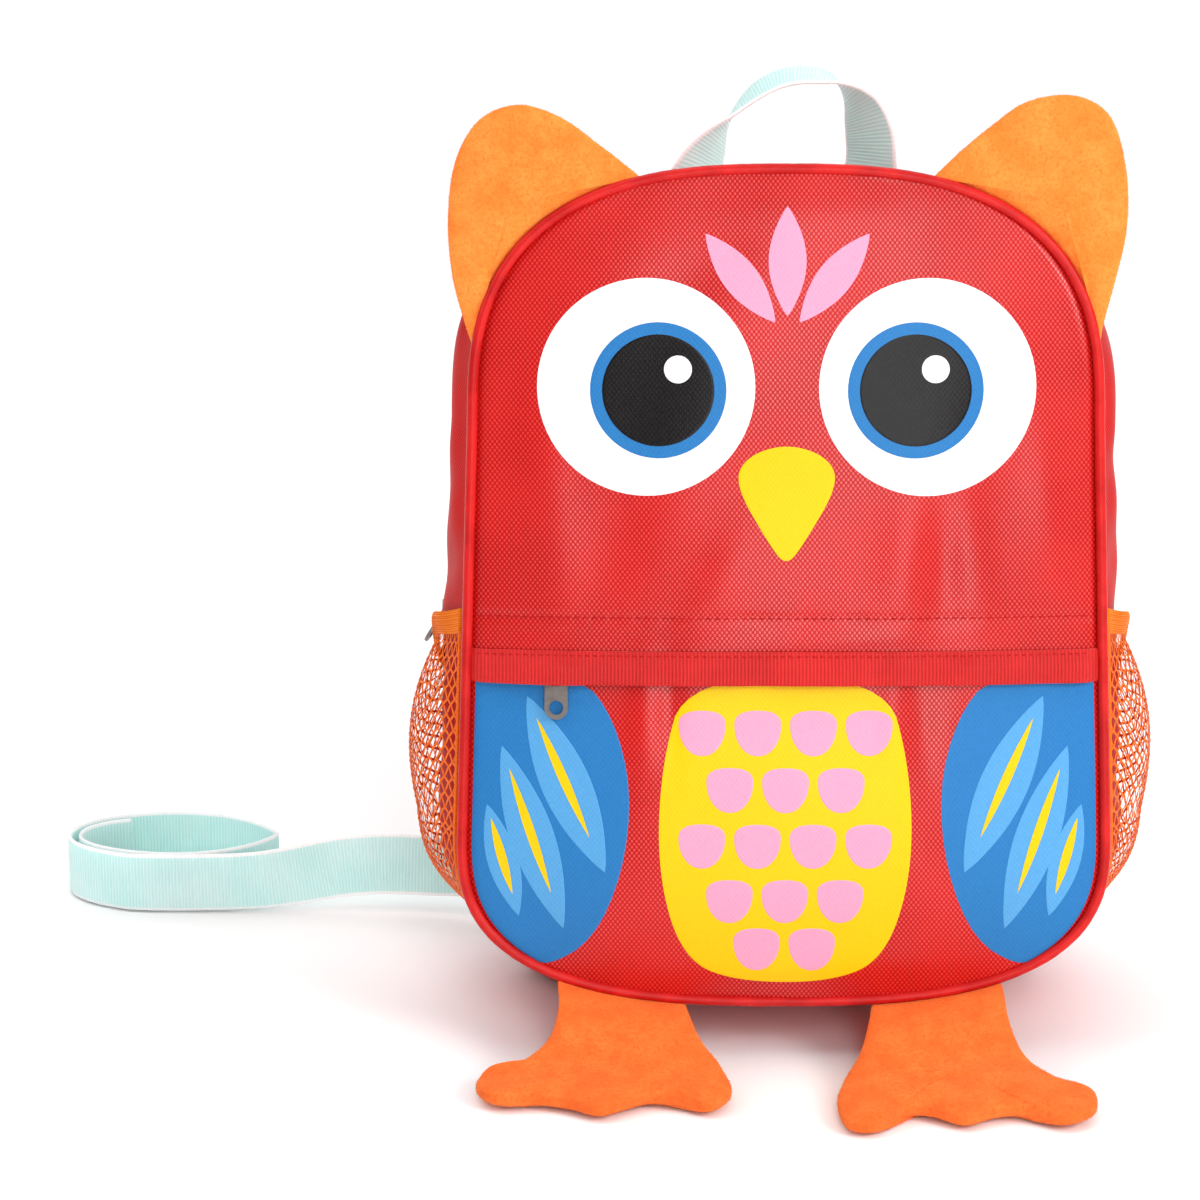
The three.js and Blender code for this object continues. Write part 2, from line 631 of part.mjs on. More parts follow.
// The foot hangs from the seam under the piping, bends forward and lies on the floor.
function footPoint(plan, thickness) {
  const seam = inFrame(frontFrame, plan.x, baseEdge(plan.x), 0);
  const lying = smoothstep(seam.y - plan.y, 0, FOOT.bend);
  const height = lerp(seam.z - FOOT.baseDrop, FOOT.halfThickness, lying);
  return new THREE.Vector3(plan.x, plan.y, height + thickness * lerp(0.45, 1, lying));
}

function foot(side) {
  const { from, to } = FOOT_SEAMS[side];
  const seam = evenly(from, to, 6).map((u) => {
    const { x, y } = inFrame(frontFrame, u, baseEdge(u), 0.4);
    return new THREE.Vector2(x, y);
  });
  const free = FOOT_EDGES[side].map(({ x, y }) => new THREE.Vector2(x, y));
  const edge = smoothEdge([seam[0], ...free, seam.at(-1)], 36);
  const rim = [...edge.slice(0, -1), ...seam.slice(1).reverse()];
  return stuffedForm(rim, FOOT.halfThickness, FOOT.edgeHalf, footPoint);
}

// Webbing

function routeCurve(points) {
  return new THREE.CatmullRomCurve3(points, false, "centripetal");
}

// Value of a column of a route at a share of its rows.
function alongRows(rows, column, share) {
  const place = share * (rows.length - 1);
  const row = Math.min(Math.floor(place), rows.length - 2);
  return lerp(rows[row][column], rows[row + 1][column], place - row);
}

function grabHandle() {
  const curve = routeCurve(HANDLE_ROUTE.map(({ x, y, z }) => new THREE.Vector3(x, y, z)));
  const stations = evenly(0, 1, 34).map((share) => {
    const turn = degToRad(alongRows(HANDLE_ROUTE, "turn", share));
    const wanted = new THREE.Vector3(Math.cos(turn), Math.sin(turn), 0);
    return station(curve.getPoint(share), curve.getTangent(share), wanted);
  });
  return sweep(stations, flatSection(WEBBING.width, WEBBING.thickness));
}

function strapCurve(side) {
  const sign = side === "right" ? 1 : -1;
  return routeCurve(STRAP_ROUTE.map(({ u, v, behind }) => inFrame(backFrame, sign * u, v, -behind)));
}

function strapStations(side, from, to, count) {
  const curve = strapCurve(side);
  return evenly(from, to, count).map((share) => {
    return station(curve.getPointAt(share), curve.getTangentAt(share), X_AXIS);
  });
}

const strapGap = GAP / strapCurve("right").getLength();

function shoulderStrap(side) {
  const section = paddedSection(SHOULDER_STRAP.width, SHOULDER_STRAP.thickness);
  return sweep(strapStations(side, 0, SHOULDER_STRAP.padEnd, 16), section);
}

function strapAdjuster(side) {
  const section = flatSection(SHOULDER_STRAP.webbingWidth + 6, SHOULDER_STRAP.plate);
  return sweep(strapStations(side, SHOULDER_STRAP.padEnd + strapGap, SHOULDER_STRAP.adjusterEnd, 3), section);
}

function strapWebbing(side) {
  const section = flatSection(SHOULDER_STRAP.webbingWidth, WEBBING.thickness);
  return sweep(strapStations(side, SHOULDER_STRAP.adjusterEnd + strapGap, 1, 10), section);
}

// The rein leaves the back, comes down to the floor and winds into a loose coil, pinched at its right end.
function reinStrap() {
  const lead = REIN_ROUTE.map(({ x, y, z }) => new THREE.Vector3(x, y, z));
  const coil = evenly(0, REIN_COIL.turns, REIN_COIL.steps).map((turn) => {
    const angle = degToRad(REIN_COIL.startAngle) - 2 * Math.PI * turn;
    const inward = REIN_COIL.step * turn + REIN_COIL.curlIn * Math.max(0, turn - 1) ** 2;
    const pinched = Math.abs(Math.sin(angle)) ** (REIN_COIL.pinch * (0.5 + 0.5 * Math.cos(angle)));
    return new THREE.Vector3(
      REIN_COIL.x + (REIN_COIL.halfLong - inward) * Math.cos(angle),
      REIN_COIL.y + (REIN_COIL.halfShort - inward) * Math.sin(angle) * pinched,
      WEBBING.width / 2 + GAP,
    );
  });
  const leans = [...REIN_ROUTE.map(({ lean }) => degToRad(lean)), ...coil.map(() => 0)];
  const places = [...lead, ...coil];
  const curve = routeCurve(places);
  const stations = places.map((place, k) => {
    const wanted = new THREE.Vector3(0, Math.sin(leans[k]), Math.cos(leans[k]));
    return station(place, curve.getTangent(k / (places.length - 1)), wanted);
  });
  return sweep(stations, flatSection(WEBBING.width, WEBBING.thickness));
}

// Zip sliders and pulls, drawn with x along the pull's axle, y out of the cloth and z up the zip

function rectangle(left, bottom, right, top) {
  const shape = new THREE.Shape();
  shape.moveTo(left, bottom);
  shape.lineTo(right, bottom);
  shape.lineTo(right, top);
  shape.lineTo(left, top);
  shape.closePath();
  return shape;
}

// A shape drawn in y and z, given a width along x.
function acrossExtrusion(shape, width) {
  const geometry = new THREE.ExtrudeGeometry(shape, { depth: width, bevelEnabled: false });
  geometry.translate(0, 0, -width / 2);
  const axes = new THREE.Matrix4().makeBasis(new THREE.Vector3(0, 1, 0), Z_AXIS, X_AXIS);
  return geometry.applyMatrix4(axes);
}

// A flat body with a bail over the pull's axle.
function zipSlider() {
  const face = SLIDER.lift + SLIDER.plate;
  const height = SLIDER.nose + SLIDER.top + SLIDER.leg;
  const body = new THREE.BoxGeometry(2 * SLIDER.halfWidth, SLIDER.plate, height);
  body.translate(0, SLIDER.lift + SLIDER.plate / 2, SLIDER.top + SLIDER.leg - height / 2);
  const crest = SLIDER.pivot + SLIDER.window;
  const sunk = face - SLIDER.plate / 2;
  const arch = new THREE.Shape([
    new THREE.Vector2(sunk, SLIDER.bottom - SLIDER.leg),
    new THREE.Vector2(crest + SLIDER.bar, SLIDER.bottom - SLIDER.leg),
    new THREE.Vector2(crest + SLIDER.bar, SLIDER.top + SLIDER.leg),
    new THREE.Vector2(sunk, SLIDER.top + SLIDER.leg),
    new THREE.Vector2(sunk, SLIDER.top),
    new THREE.Vector2(crest, SLIDER.top),
    new THREE.Vector2(crest, SLIDER.bottom),
    new THREE.Vector2(sunk, SLIDER.bottom),
  ]);
  return joined(body, acrossExtrusion(arch, 2 * SLIDER.bailHalf));
}

// A tab with a slot for the bail and a ring at its end; its axle is the bar above the slot.
function zipPull() {
  const ringCentre = PULL.ringRadius - PULL.length;
  const shape = new THREE.Shape();
  shape.moveTo(-PULL.halfWidth, PULL.barHalf);
  shape.lineTo(-PULL.halfWidth, -PULL.tabEnd);
  shape.lineTo(-PULL.ringRadius, ringCentre);
  shape.absarc(0, ringCentre, PULL.ringRadius, Math.PI, 2 * Math.PI, false);
  shape.lineTo(PULL.halfWidth, -PULL.tabEnd);
  shape.lineTo(PULL.halfWidth, PULL.barHalf);
  shape.closePath();
  shape.holes.push(rectangle(-PULL.slotHalf, -PULL.slotEnd, PULL.slotHalf, -PULL.barHalf));
  const ring = new THREE.Path();
  ring.absarc(0, ringCentre, PULL.ringHole, 0, 2 * Math.PI, true);
  shape.holes.push(ring);
  const options = { depth: PULL.thickness, bevelEnabled: false, curveSegments: 8 };
  const geometry = new THREE.ExtrudeGeometry(shape, options);
  geometry.translate(0, 0, -PULL.thickness / 2);
  const axes = new THREE.Matrix4().makeBasis(X_AXIS, Z_AXIS, new THREE.Vector3(0, -1, 0));
  return geometry.applyMatrix4(axes);
}

// Frame of a slider on a surface: x lies sideways, z points up and y comes out of the cloth.
function surfaceFrame(place, sideways, upward) {
  const up = upward.clone().normalize();
  const along = sideways.clone().addScaledVector(up, -sideways.dot(up)).normalize();
  return new THREE.Matrix4().makeBasis(along, up.clone().cross(along), up).setPosition(place);
}

function frontSliderFrame() {
  const { sliderAcross: u, sliderHeight: v } = FRONT_ZIP;
  const reach = PULL.halfWidth;
  const sideways = frontPoint(u - reach, v, 0).sub(frontPoint(u + reach, v, 0));
  const upward = frontPoint(u, v, 0).sub(frontPoint(u, v - PULL.length, 0));
  return surfaceFrame(frontPoint(u, v, 0), sideways, upward);
}

function mainSliderFrame() {
  const turn = sideTurn(MAIN_ZIP.sliderHeight, "left");
  const { middle } = MAIN_ZIP;
  const reach = 0.05;
  const sideways = gussetPoint(turn, middle + reach, 0).sub(gussetPoint(turn, middle - reach, 0));
  const upward = gussetPoint(turn - reach, middle, 0).sub(gussetPoint(turn + reach, middle, 0));
  return surfaceFrame(gussetPoint(turn, middle, 0), sideways, upward);
}

// The assembled backpack

const backpack = new THREE.Group();

function addPiece(name, geometry, finish, parent = backpack) {
  const mesh = new THREE.Mesh(geometry, new THREE.MeshStandardMaterial(FINISHES[finish]));
  mesh.name = name;
  parent.add(mesh);
  return mesh;
}

function addZip(name, frame, restAngle) {
  const group = new THREE.Group();
  group.applyMatrix4(frame);
  backpack.add(group);
  addPiece(`${name}_slider`, zipSlider(), "zipMetal", group);
  const pull = addPiece(`${name}_pull`, zipPull(), "zipMetal", group);
  pull.position.y = SLIDER.pivot;
  pull.rotation.x = restAngle;
}

addPiece("front_panel", frontPanel(), "redPolyester");
addPiece("pocket_panel", pocketPanel(), "redPolyester");
addPiece("zip_cover_tape", coverTape(), "redTape");
addPiece("front_zip", frontZip(), "redTape");
addPiece("piping", piping(), "redPiping");
addPiece("gusset_front", gussetFront(), "redPolyester");
addPiece("main_zip", mainZip(), "redTape");
addPiece("gusset_back", gussetBack(), "redPolyester");
addPiece("gusset_base", gussetBase(), "redPolyester");
addPiece("back_panel", backPanel(), "redPolyester");
addZip("front_zip", frontSliderFrame(), 0);
addZip("main_zip", mainSliderFrame(), MAIN_PULL_REST);
for (const side of ["left", "right"]) {
  addPiece(`${side}_pocket_net`, pocketNet(side), "orangeNet");
  addPiece(`${side}_pocket_elastic`, pocketElastic(side), "orangeNet");
  addPiece(`${side}_ear`, ear(side), "orangePlush");
  addPiece(`${side}_foot`, foot(side), "orangePlush");
  addPiece(`${side}_shoulder_strap`, shoulderStrap(side), "redPolyester");
  addPiece(`${side}_strap_adjuster`, strapAdjuster(side), "mintPlastic");
  addPiece(`${side}_strap_webbing`, strapWebbing(side), "mintWebbing");
}
addPiece("grab_handle", grabHandle(), "mintWebbing");
addPiece("rein_strap", reinStrap(), "mintWebbing");

export default backpack;
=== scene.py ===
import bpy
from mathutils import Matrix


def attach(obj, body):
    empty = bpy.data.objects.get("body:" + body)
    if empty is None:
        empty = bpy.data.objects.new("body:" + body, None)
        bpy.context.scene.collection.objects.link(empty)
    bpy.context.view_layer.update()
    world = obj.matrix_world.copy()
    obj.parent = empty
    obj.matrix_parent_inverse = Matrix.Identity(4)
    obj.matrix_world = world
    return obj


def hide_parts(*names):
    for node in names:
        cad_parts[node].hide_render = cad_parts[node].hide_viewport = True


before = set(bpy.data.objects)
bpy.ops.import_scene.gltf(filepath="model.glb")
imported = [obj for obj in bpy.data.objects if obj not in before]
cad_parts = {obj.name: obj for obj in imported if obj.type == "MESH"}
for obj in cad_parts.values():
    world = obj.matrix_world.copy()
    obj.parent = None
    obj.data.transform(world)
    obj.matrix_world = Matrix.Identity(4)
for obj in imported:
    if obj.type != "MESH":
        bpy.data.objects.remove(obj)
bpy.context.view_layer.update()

import math
from collections import namedtuple
from types import SimpleNamespace as Sizes

import bpy
import numpy as np
from mathutils import Vector

# Toddler's owl backpack, in metres: front towards -Y, left and right as seen from the front
SIDES = ("left", "right")
TAU = math.tau
scene = bpy.context.scene

# Sizes of the body
FRONT = Sizes(height=0.280, base_half=0.108, shoulder_half=0.104, base_corner=0.055, top_arch=0.083)
BACK = Sizes(height=0.262, base_half=0.106, shoulder_half=0.100, base_corner=0.052, top_arch=0.078)
FRONT_SEAM = Sizes(y=-0.048, z=0.020, lean=math.radians(12))
BACK_SEAM = Sizes(y=0.052, z=0.010, lean=math.radians(2))
GUSSET_LEAN = (FRONT_SEAM.lean + BACK_SEAM.lean) / 2
CORNER_POWER = 2.7
WALL = 0.0016
GAP = 0.00035
PIPING_RADIUS = 0.0018
PANEL_INSET = 0.0008
CROWN = Sizes(front=(0.009, 2.4, 5), pocket=0.005, back=(0.005, 2, 4))
RIPPLE = Sizes(front=(0.075, 0.00022), back=(0.09, 0.0003), gusset=(0.05, 0.0007))
BULGE = Sizes(side=0.010, top=0.003, base=0.024, side_shape=1.5, base_shape=1, base_lag=1.8, base_from=0.6,
              corner_to=0.7)

# Sizes of the zips and of the tape over the front one
POCKET_TOP = 0.113
COVER_TAPE = Sizes(bottom=0.1095, top=0.1205, thickness=0.001, seam_lift=0.0004, edge_lift=0.0022,
                   hump_lift=0.0019, hump_half=0.014, rib=0.0012, rib_height=0.00014, inset=0.0014,
                   round_edge=0.00035, sewn_share=0.55, end_share=0.05)
TAPE_WAVES = ((0.00035, 0.047, 0), (0.0002, 0.019, 1))
FRONT_ZIP = Sizes(bottom=0.1134, top=0.118, thickness=0.0012, slider_across=-0.076, end_inset=0.004)
MAIN_ZIP = Sizes(width=0.010, thickness=0.0012, middle=0.64, end_height=0.118)
TOOTH = Sizes(pitch=0.0016, length=0.0019, radius=0.00055)

# Stitches, sewn lines, the cloth's distance from its seams and steps of the meshes
BAND_STITCH_HEIGHT = 0.1315
TAPE_STITCH_HEIGHT = 0.1191
BOX_STITCH = Sizes(pitch=0.0024, radius=0.0003, above_end=0.009, handle=(0.007, 0.008), rein=(0.008, 0.012))
STITCH = Sizes(radius=0.00026, filled=0.74, lift=0.00012, inset=0.003, back_inset=0.005, pitch=0.003)
GROOVE = Sizes(depth=0.00045, half=0.0011, pitch=0.003, pucker=0.35)
CREASE = Sizes(depth=0.0019, reach=0.0027)
SEAM_EDGE = Sizes(front=0.0004, back=0.0003)
STEP = Sizes(gusset=0.0025, teeth=0.002, piping=0.0014, route=0.0005)

# Sizes of the soft trim
SIDE_POCKET = Sizes(top=0.133, bottom_turn=0.145, seam_lift=0.0011, mouth=0.0022, sag=0.0055, dip=0.018,
                    dip_at=0.68, dip_half=0.15, belly=0.0094, edge=0.07, band=0.085)
ELASTIC = Sizes(wall=0.0012, width=0.1, rib=0.0016, rib_height=0.00016, gathers=46, gather_height=0.00012,
                fold=0.0004)
NET = Sizes(rows=21, columns=18, strand=0.00046, flat=0.3, lift=0.0005, over=0.00022, hem=0.0009,
            hem_lift=0.0004)
EAR = Sizes(setback=0.0034, half_thickness=0.0042, edge_half=0.0011, base_clear=0.0013, base_top=0.386,
            base_bottom=0.06, points=(84, 32))
FOOT = Sizes(half_thickness=0.0041, edge_half=0.0013, base_drop=0.0023, bend=0.038, seam_ahead=0.0004,
             seam_share=0.45, points=(130, 28))
PILE = Sizes(length=0.00055, radius=0.00012, root=0.0002, per_square_mm=1.7, lengths=(0.7, 1.15),
             scatter=0.45, brushed=(0.25, 0, -0.35), patches=(0.03, 0.35))
FILLING = Sizes(frames=20, cap=0.005, on_floor=0.0008)
WEBBING = Sizes(width=0.022, thickness=0.0016, rib=0.0012, rib_height=0.00013, step=0.0003,
                selvedge=0.00012, selvedge_at=0.93, selvedge_half=0.03)
SHOULDER_STRAP = Sizes(width=0.036, thickness=0.006, pad_end=0.74, adjuster_end=0.79, webbing_width=0.020,
                       plate=0.003, binding=0.0013, end_taper=0.012, end_share=0.45, pad_wide=0.985,
                       pad_deep=0.8, buckle_extra=0.006, tuck=0.02)
REIN_COIL = Sizes(x=-0.2163, y=0.0934, half_long=0.0392, half_short=0.0218, start_angle=248, turns=1.35,
                  step=0.0034, curl_in=0.009, pinch=0.5, steps=38)

# Free edge of each ear, from its upper to its lower end: across and height on the front
EAR_EDGES = {
    "left": [
        (-0.062, 0.288), (-0.075, 0.297), (-0.089, 0.301), (-0.101, 0.2965),
        (-0.109, 0.284), (-0.112, 0.264), (-0.1105, 0.244), (-0.1065, 0.229),
    ],
    "right": [
        (0.0585, 0.287), (0.0685, 0.295), (0.079, 0.302), (0.095, 0.304), (0.106, 0.298),
        (0.112, 0.280), (0.1125, 0.260), (0.109, 0.243), (0.1055, 0.229),
    ],
}

# Outline of each foot on the floor, round the toes from one end of its seam to the other: x and y
FOOT_EDGES = {
    "left": [
        (-0.076, -0.058), (-0.079, -0.0665), (-0.088, -0.0735), (-0.100, -0.0755), (-0.103, -0.083),
        (-0.097, -0.092), (-0.083, -0.091), (-0.072, -0.094), (-0.062, -0.0995), (-0.053, -0.0945),
        (-0.045, -0.090), (-0.035, -0.0915), (-0.025, -0.096), (-0.018, -0.086), (-0.021, -0.0745),
        (-0.027, -0.065), (-0.031, -0.056),
    ],
    "right": [
        (0.0285, -0.057), (0.025, -0.068), (0.0185, -0.0815), (0.0165, -0.096), (0.020, -0.109),
        (0.028, -0.110), (0.038, -0.0995), (0.046, -0.099), (0.058, -0.106), (0.068, -0.1005),
        (0.078, -0.0995), (0.091, -0.1065), (0.101, -0.100), (0.101, -0.086), (0.090, -0.078),
        (0.081, -0.072), (0.076, -0.063),
    ],
}
FOOT_SEAMS = {"left": (-0.076, -0.033), "right": (0.030, 0.0735)}

# Grab handle: x, y and z of its middle line, and the turn of its width about the upright in degrees
HANDLE_ROUTE = [
    (-0.029, 0.0656, 0.258, 180), (-0.0295, 0.0656, 0.268, 180), (-0.0277, 0.0675, 0.278, 214),
    (-0.0232, 0.07, 0.287, 234), (-0.0172, 0.0725, 0.2955, 257), (-0.0085, 0.074, 0.304, 271),
    (0.0005, 0.0745, 0.3086, 274), (0.01, 0.074, 0.3098, 278), (0.0185, 0.073, 0.308, 287),
    (0.026, 0.071, 0.3015, 305), (0.03, 0.0685, 0.2915, 316), (0.0308, 0.0668, 0.279, 322),
    (0.0295, 0.0656, 0.268, 360), (0.0285, 0.0656, 0.258, 360),
]

# Shoulder strap, right-hand side: across, height and distance behind the back seam
STRAP_ROUTE = [
    (0.030, 0.222, 0.0088), (0.031, 0.234, 0.0108), (0.034, 0.241, 0.022), (0.039, 0.233, 0.036),
    (0.046, 0.200, 0.044), (0.055, 0.152, 0.044), (0.062, 0.110, 0.035), (0.0665, 0.080, 0.026),
    (0.072, 0.054, 0.015), (0.079, 0.032, 0.005), (0.083, 0.018, 0.0036),
]

# Walking rein from its sewn end to its coil: x, y and z of its middle, and its lean backwards in degrees
REIN_ROUTE = [
    (0.014, 0.0586, 0.026, 2), (-0.014, 0.0586, 0.026, 2), (-0.040, 0.0589, 0.025, 4),
    (-0.066, 0.0615, 0.023, 8), (-0.092, 0.068, 0.0195, 13), (-0.1195, 0.075, 0.017, 16),
    (-0.140, 0.0783, 0.0163, 19), (-0.155, 0.0783, 0.0152, 18), (-0.171, 0.0762, 0.013, 9),
    (-0.187, 0.0736, 0.0118, 2),
]
REIN_EXIT = (-0.014, 0.0586, 0.026)

# Ridges and dips of the front: middle, tilt from across in degrees, half length, half width and height
Fold = namedtuple("Fold", "u v tilt length width height")
FRONT_FOLDS = [Fold(*row) for row in (
    (0.040, 0.150, 84, 0.024, 0.0085, 0.0011), (0.061, 0.154, 97, 0.027, 0.0070, 0.0008),
    (0.052, 0.148, 90, 0.020, 0.0060, -0.0007), (-0.056, 0.158, 76, 0.026, 0.0120, -0.0011),
    (-0.078, 0.170, 96, 0.030, 0.0080, 0.0008), (-0.020, 0.146, 62, 0.020, 0.0080, 0.0007),
    (0.000, 0.262, 4, 0.040, 0.0090, 0.0009), (-0.030, 0.245, 30, 0.028, 0.0100, -0.0007),
    (0.086, 0.182, 100, 0.032, 0.0080, 0.0007), (0.020, 0.1245, 3, 0.040, 0.0030, 0.0006),
    (-0.060, 0.1250, -4, 0.028, 0.0030, -0.0005), (-0.047, 0.098, 88, 0.018, 0.0045, 0.0010),
    (-0.038, 0.100, 92, 0.016, 0.0035, -0.0008), (0.036, 0.099, 88, 0.018, 0.0045, 0.0009),
    (0.046, 0.094, 95, 0.018, 0.0050, -0.0007), (-0.050, 0.030, 60, 0.022, 0.0080, 0.0007),
    (0.052, 0.034, 118, 0.024, 0.0080, 0.0007), (0.000, 0.012, 2, 0.050, 0.0070, 0.0008),
)]

# Weave of the polyester, and the films printed on it: how far they stand off, lowest first, and their form
DOTS = Sizes(across=0.00157, up=0.0020)
FILM_LIFTS = (0.00014, 0.00024, 0.00034, 0.00042)
FILM = Sizes(depth=0.00025, worn=0.00006, rim=0.0003, inner=0.0009, ring=0.0024)

# The photograph's view
VIEW = Sizes(target=(-0.06167, -0.01959, 0.15368), elevation=math.radians(20), distance=1.6, lens=144,
             sensor=36)
BAG_MIDDLE = Vector((0, 0, 0.13))


# Camera and light

def make_camera():
    data = bpy.data.cameras.new("camera")
    data.lens = VIEW.lens
    data.sensor_width = VIEW.sensor
    camera = bpy.data.objects.new("camera", data)
    back = Vector((0, -math.cos(VIEW.elevation), math.sin(VIEW.elevation)))
    camera.location = Vector(VIEW.target) + back * VIEW.distance
    camera.rotation_euler = (-back).to_track_quat("-Z", "Y").to_euler()
    scene.collection.objects.link(camera)
    scene.camera = camera


def soft_light(name, place, width, height, power):
    """A softbox that faces the middle of the bag."""
    data = bpy.data.lights.new(name, "AREA")
    data.shape = "RECTANGLE"
    data.size = width
    data.size_y = height
    data.energy = power
    light = bpy.data.objects.new(name, data)
    light.location = place
    light.rotation_euler = (BAG_MIDDLE - Vector(place)).to_track_quat("-Z", "Y").to_euler()
    scene.collection.objects.link(light)


def make_light():
    world = bpy.data.worlds.new("studio")
    world.use_nodes = True
    background = world.node_tree.nodes["Background"]
    background.inputs["Color"].default_value = (1, 1, 1, 1)
    background.inputs["Strength"].default_value = 0.22
    scene.world = world
    soft_light("key", (1.1, -0.8, 0.9), 0.6, 0.6, 13)
    soft_light("front", (0.27, -2.0, 0.9), 0.55, 1.9, 21)
    soft_light("side", (-1.6, -0.1, 1.1), 1.0, 1.0, 8)
    soft_light("top", (0, 0.9, 2.6), 5, 5, 110)
    scene.view_settings.view_transform = "Standard"


# Numbers and curves

def lerp(a, b, share):
    return a + (b - a) * share


def smoothstep(value, low, high):
    share = np.clip((value - low) / (high - low), 0, 1)
    return share * share * (3 - 2 * share)


def unit(vectors):
    return vectors / np.linalg.norm(vectors, axis=-1, keepdims=True)


def run_length(points):
    """Distance along a row of points, from its start."""
    return np.concatenate([[0], np.cumsum(np.linalg.norm(np.diff(points, axis=0), axis=1))])


def at_length(rows, lengths, wanted):
    """Rows interpolated, column by column, at the wanted lengths."""
    return np.stack([np.interp(wanted, lengths, column) for column in np.asarray(rows).T], 1)


def smooth_route(rows, step, places=3):
    """A smooth curve through rows, as rows a step apart; the first columns are the place."""
    rows = np.asarray(rows, float)
    knots = np.concatenate([[0], np.cumsum(np.linalg.norm(np.diff(rows[:, :places], axis=0), axis=1) ** 0.5)])
    slopes = np.gradient(rows, knots, axis=0)
    pieces = []
    for k in range(len(rows) - 1):
        t = np.linspace(0, 1, 40, endpoint=k == len(rows) - 2)[:, None]
        span = knots[k + 1] - knots[k]
        pieces.append((2 * t ** 3 - 3 * t ** 2 + 1) * rows[k] + (t ** 3 - 2 * t ** 2 + t) * span * slopes[k]
                      + (3 * t ** 2 - 2 * t ** 3) * rows[k + 1] + (t ** 3 - t ** 2) * span * slopes[k + 1])
    curve = np.concatenate(pieces)
    lengths = run_length(curve[:, :places])
    return at_length(curve, lengths, np.linspace(0, lengths[-1], max(2, round(lengths[-1] / step) + 1)))


# Outlines and surfaces of the body

def rounded(share):
    return (1 - share ** CORNER_POWER) ** (1 / CORNER_POWER)


def soft_power(value):
    return np.sign(value) * np.abs(value) ** (2 / CORNER_POWER)


def half_width(size, v):
    shoulder = size.height - size.top_arch
    side = np.clip((v - size.base_corner) / (shoulder - size.base_corner), 0, 1)
    below = np.clip((size.base_corner - v) / size.base_corner, 0, 1)
    above = np.clip((v - shoulder) / size.top_arch, 0, 1)
    return lerp(size.base_half, size.shoulder_half, side) * rounded(below) * rounded(above)


def outline(size, turn):
    """Across and height of an outline.

    Turn 0 to 1 climbs the right side, 1 to 2 is the arch, 2 to 3 the left side and 3 to 4 the base.
    """
    turn = np.asarray(turn, float) % 4
    quarter = np.floor(turn)
    share = turn - quarter
    shoulder = size.height - size.top_arch
    cos, sin = soft_power(np.cos(share * np.pi)), soft_power(np.sin(share * np.pi))
    climb = np.where(quarter == 0, share, 1 - share)
    side = lerp(size.base_half, size.shoulder_half, climb)
    u = np.select([quarter == 0, quarter == 1, quarter == 2],
                  [side, size.shoulder_half * cos, -side], -size.base_half * cos)
    v = np.select([quarter == 1, quarter == 3],
                  [shoulder + size.top_arch * sin, size.base_corner * (1 - sin)],
                  lerp(size.base_corner, shoulder, climb))
    return u, v


def in_seam(seam, u, v, ahead):
    """Point of a seam's leaning plane, moved ahead of it."""
    u, v, ahead = np.broadcast_arrays(u, v, ahead)
    sin, cos = math.sin(seam.lean), math.cos(seam.lean)
    return np.stack([u, seam.y + v * sin - ahead * cos, seam.z + v * cos + ahead * sin], -1)


def even_turns(start, end, step):
    """Turns from start to end that lie a step apart along the front seam."""
    turns = np.linspace(start, end, 4000)
    lengths = run_length(np.stack(outline(FRONT, turns), 1))
    return np.interp(np.linspace(0, lengths[-1], round(lengths[-1] / step) + 1), lengths, turns)


def side_turn(height, side):
    share = (height - FRONT.base_corner) / (FRONT.height - FRONT.top_arch - FRONT.base_corner)
    return share if side == "right" else 3 - share


def crown(size, u, v, height, power, end_power):
    across = np.clip(np.abs(u) / np.maximum(half_width(size, v), 0.001), 0, 1)
    up = np.clip(np.abs(2 * v / size.height - 1), 0, 1)
    return height * (1 - across ** power) * (1 - up ** end_power)


def ripple(a, b, wave, height):
    """A gentle, uneven swell over a surface."""
    long = np.sin(TAU * (0.9 * a + 0.5 * b) / wave) * np.sin(TAU * (0.7 * b - 0.3 * a) / wave + 1.3)
    return height * (long + 0.6 * np.sin(TAU * (1.7 * a - 0.8 * b) / wave + 0.4))


def front_relief(u, v):
    """Folds and sewn lines of the front, fading out at its edge."""
    inside = half_width(FRONT, v) - np.abs(u)
    height = ripple(u, v, *RIPPLE.front)
    for fold in FRONT_FOLDS:
        cos, sin = math.cos(math.radians(fold.tilt)), math.sin(math.radians(fold.tilt))
        along = (u - fold.u) * cos + (v - fold.v) * sin
        across = (v - fold.v) * cos - (u - fold.u) * sin
        height = height + fold.height * np.exp(-(along / fold.length) ** 2 - (across / fold.width) ** 2)
    pucker = 1 + GROOVE.pucker * np.cos(TAU * u / GROOVE.pitch)
    groove = -GROOVE.depth * pucker * np.exp(-((v - BAND_STITCH_HEIGHT) / GROOVE.half) ** 2)
    crease = -CREASE.depth * np.exp(-(inside / CREASE.reach) ** 2)
    return height * smoothstep(inside, 0, 0.02) + groove + crease


def front_point(u, v, lift=0.0):
    across = np.clip(np.abs(u) / np.maximum(half_width(FRONT, v), 0.001), 0, 1)
    belly = CROWN.pocket * (1 - across ** 2) * np.sin(np.pi * np.clip(v / POCKET_TOP, 0, 1))
    ahead = crown(FRONT, u, v, *CROWN.front) + belly + front_relief(u, v)
    return in_seam(FRONT_SEAM, u, v, ahead + lift)


def back_point(u, v, behind):
    swell = ripple(u, v, *RIPPLE.back)
    return in_seam(BACK_SEAM, u, v, -crown(BACK, u, v, *CROWN.back) - swell - behind)


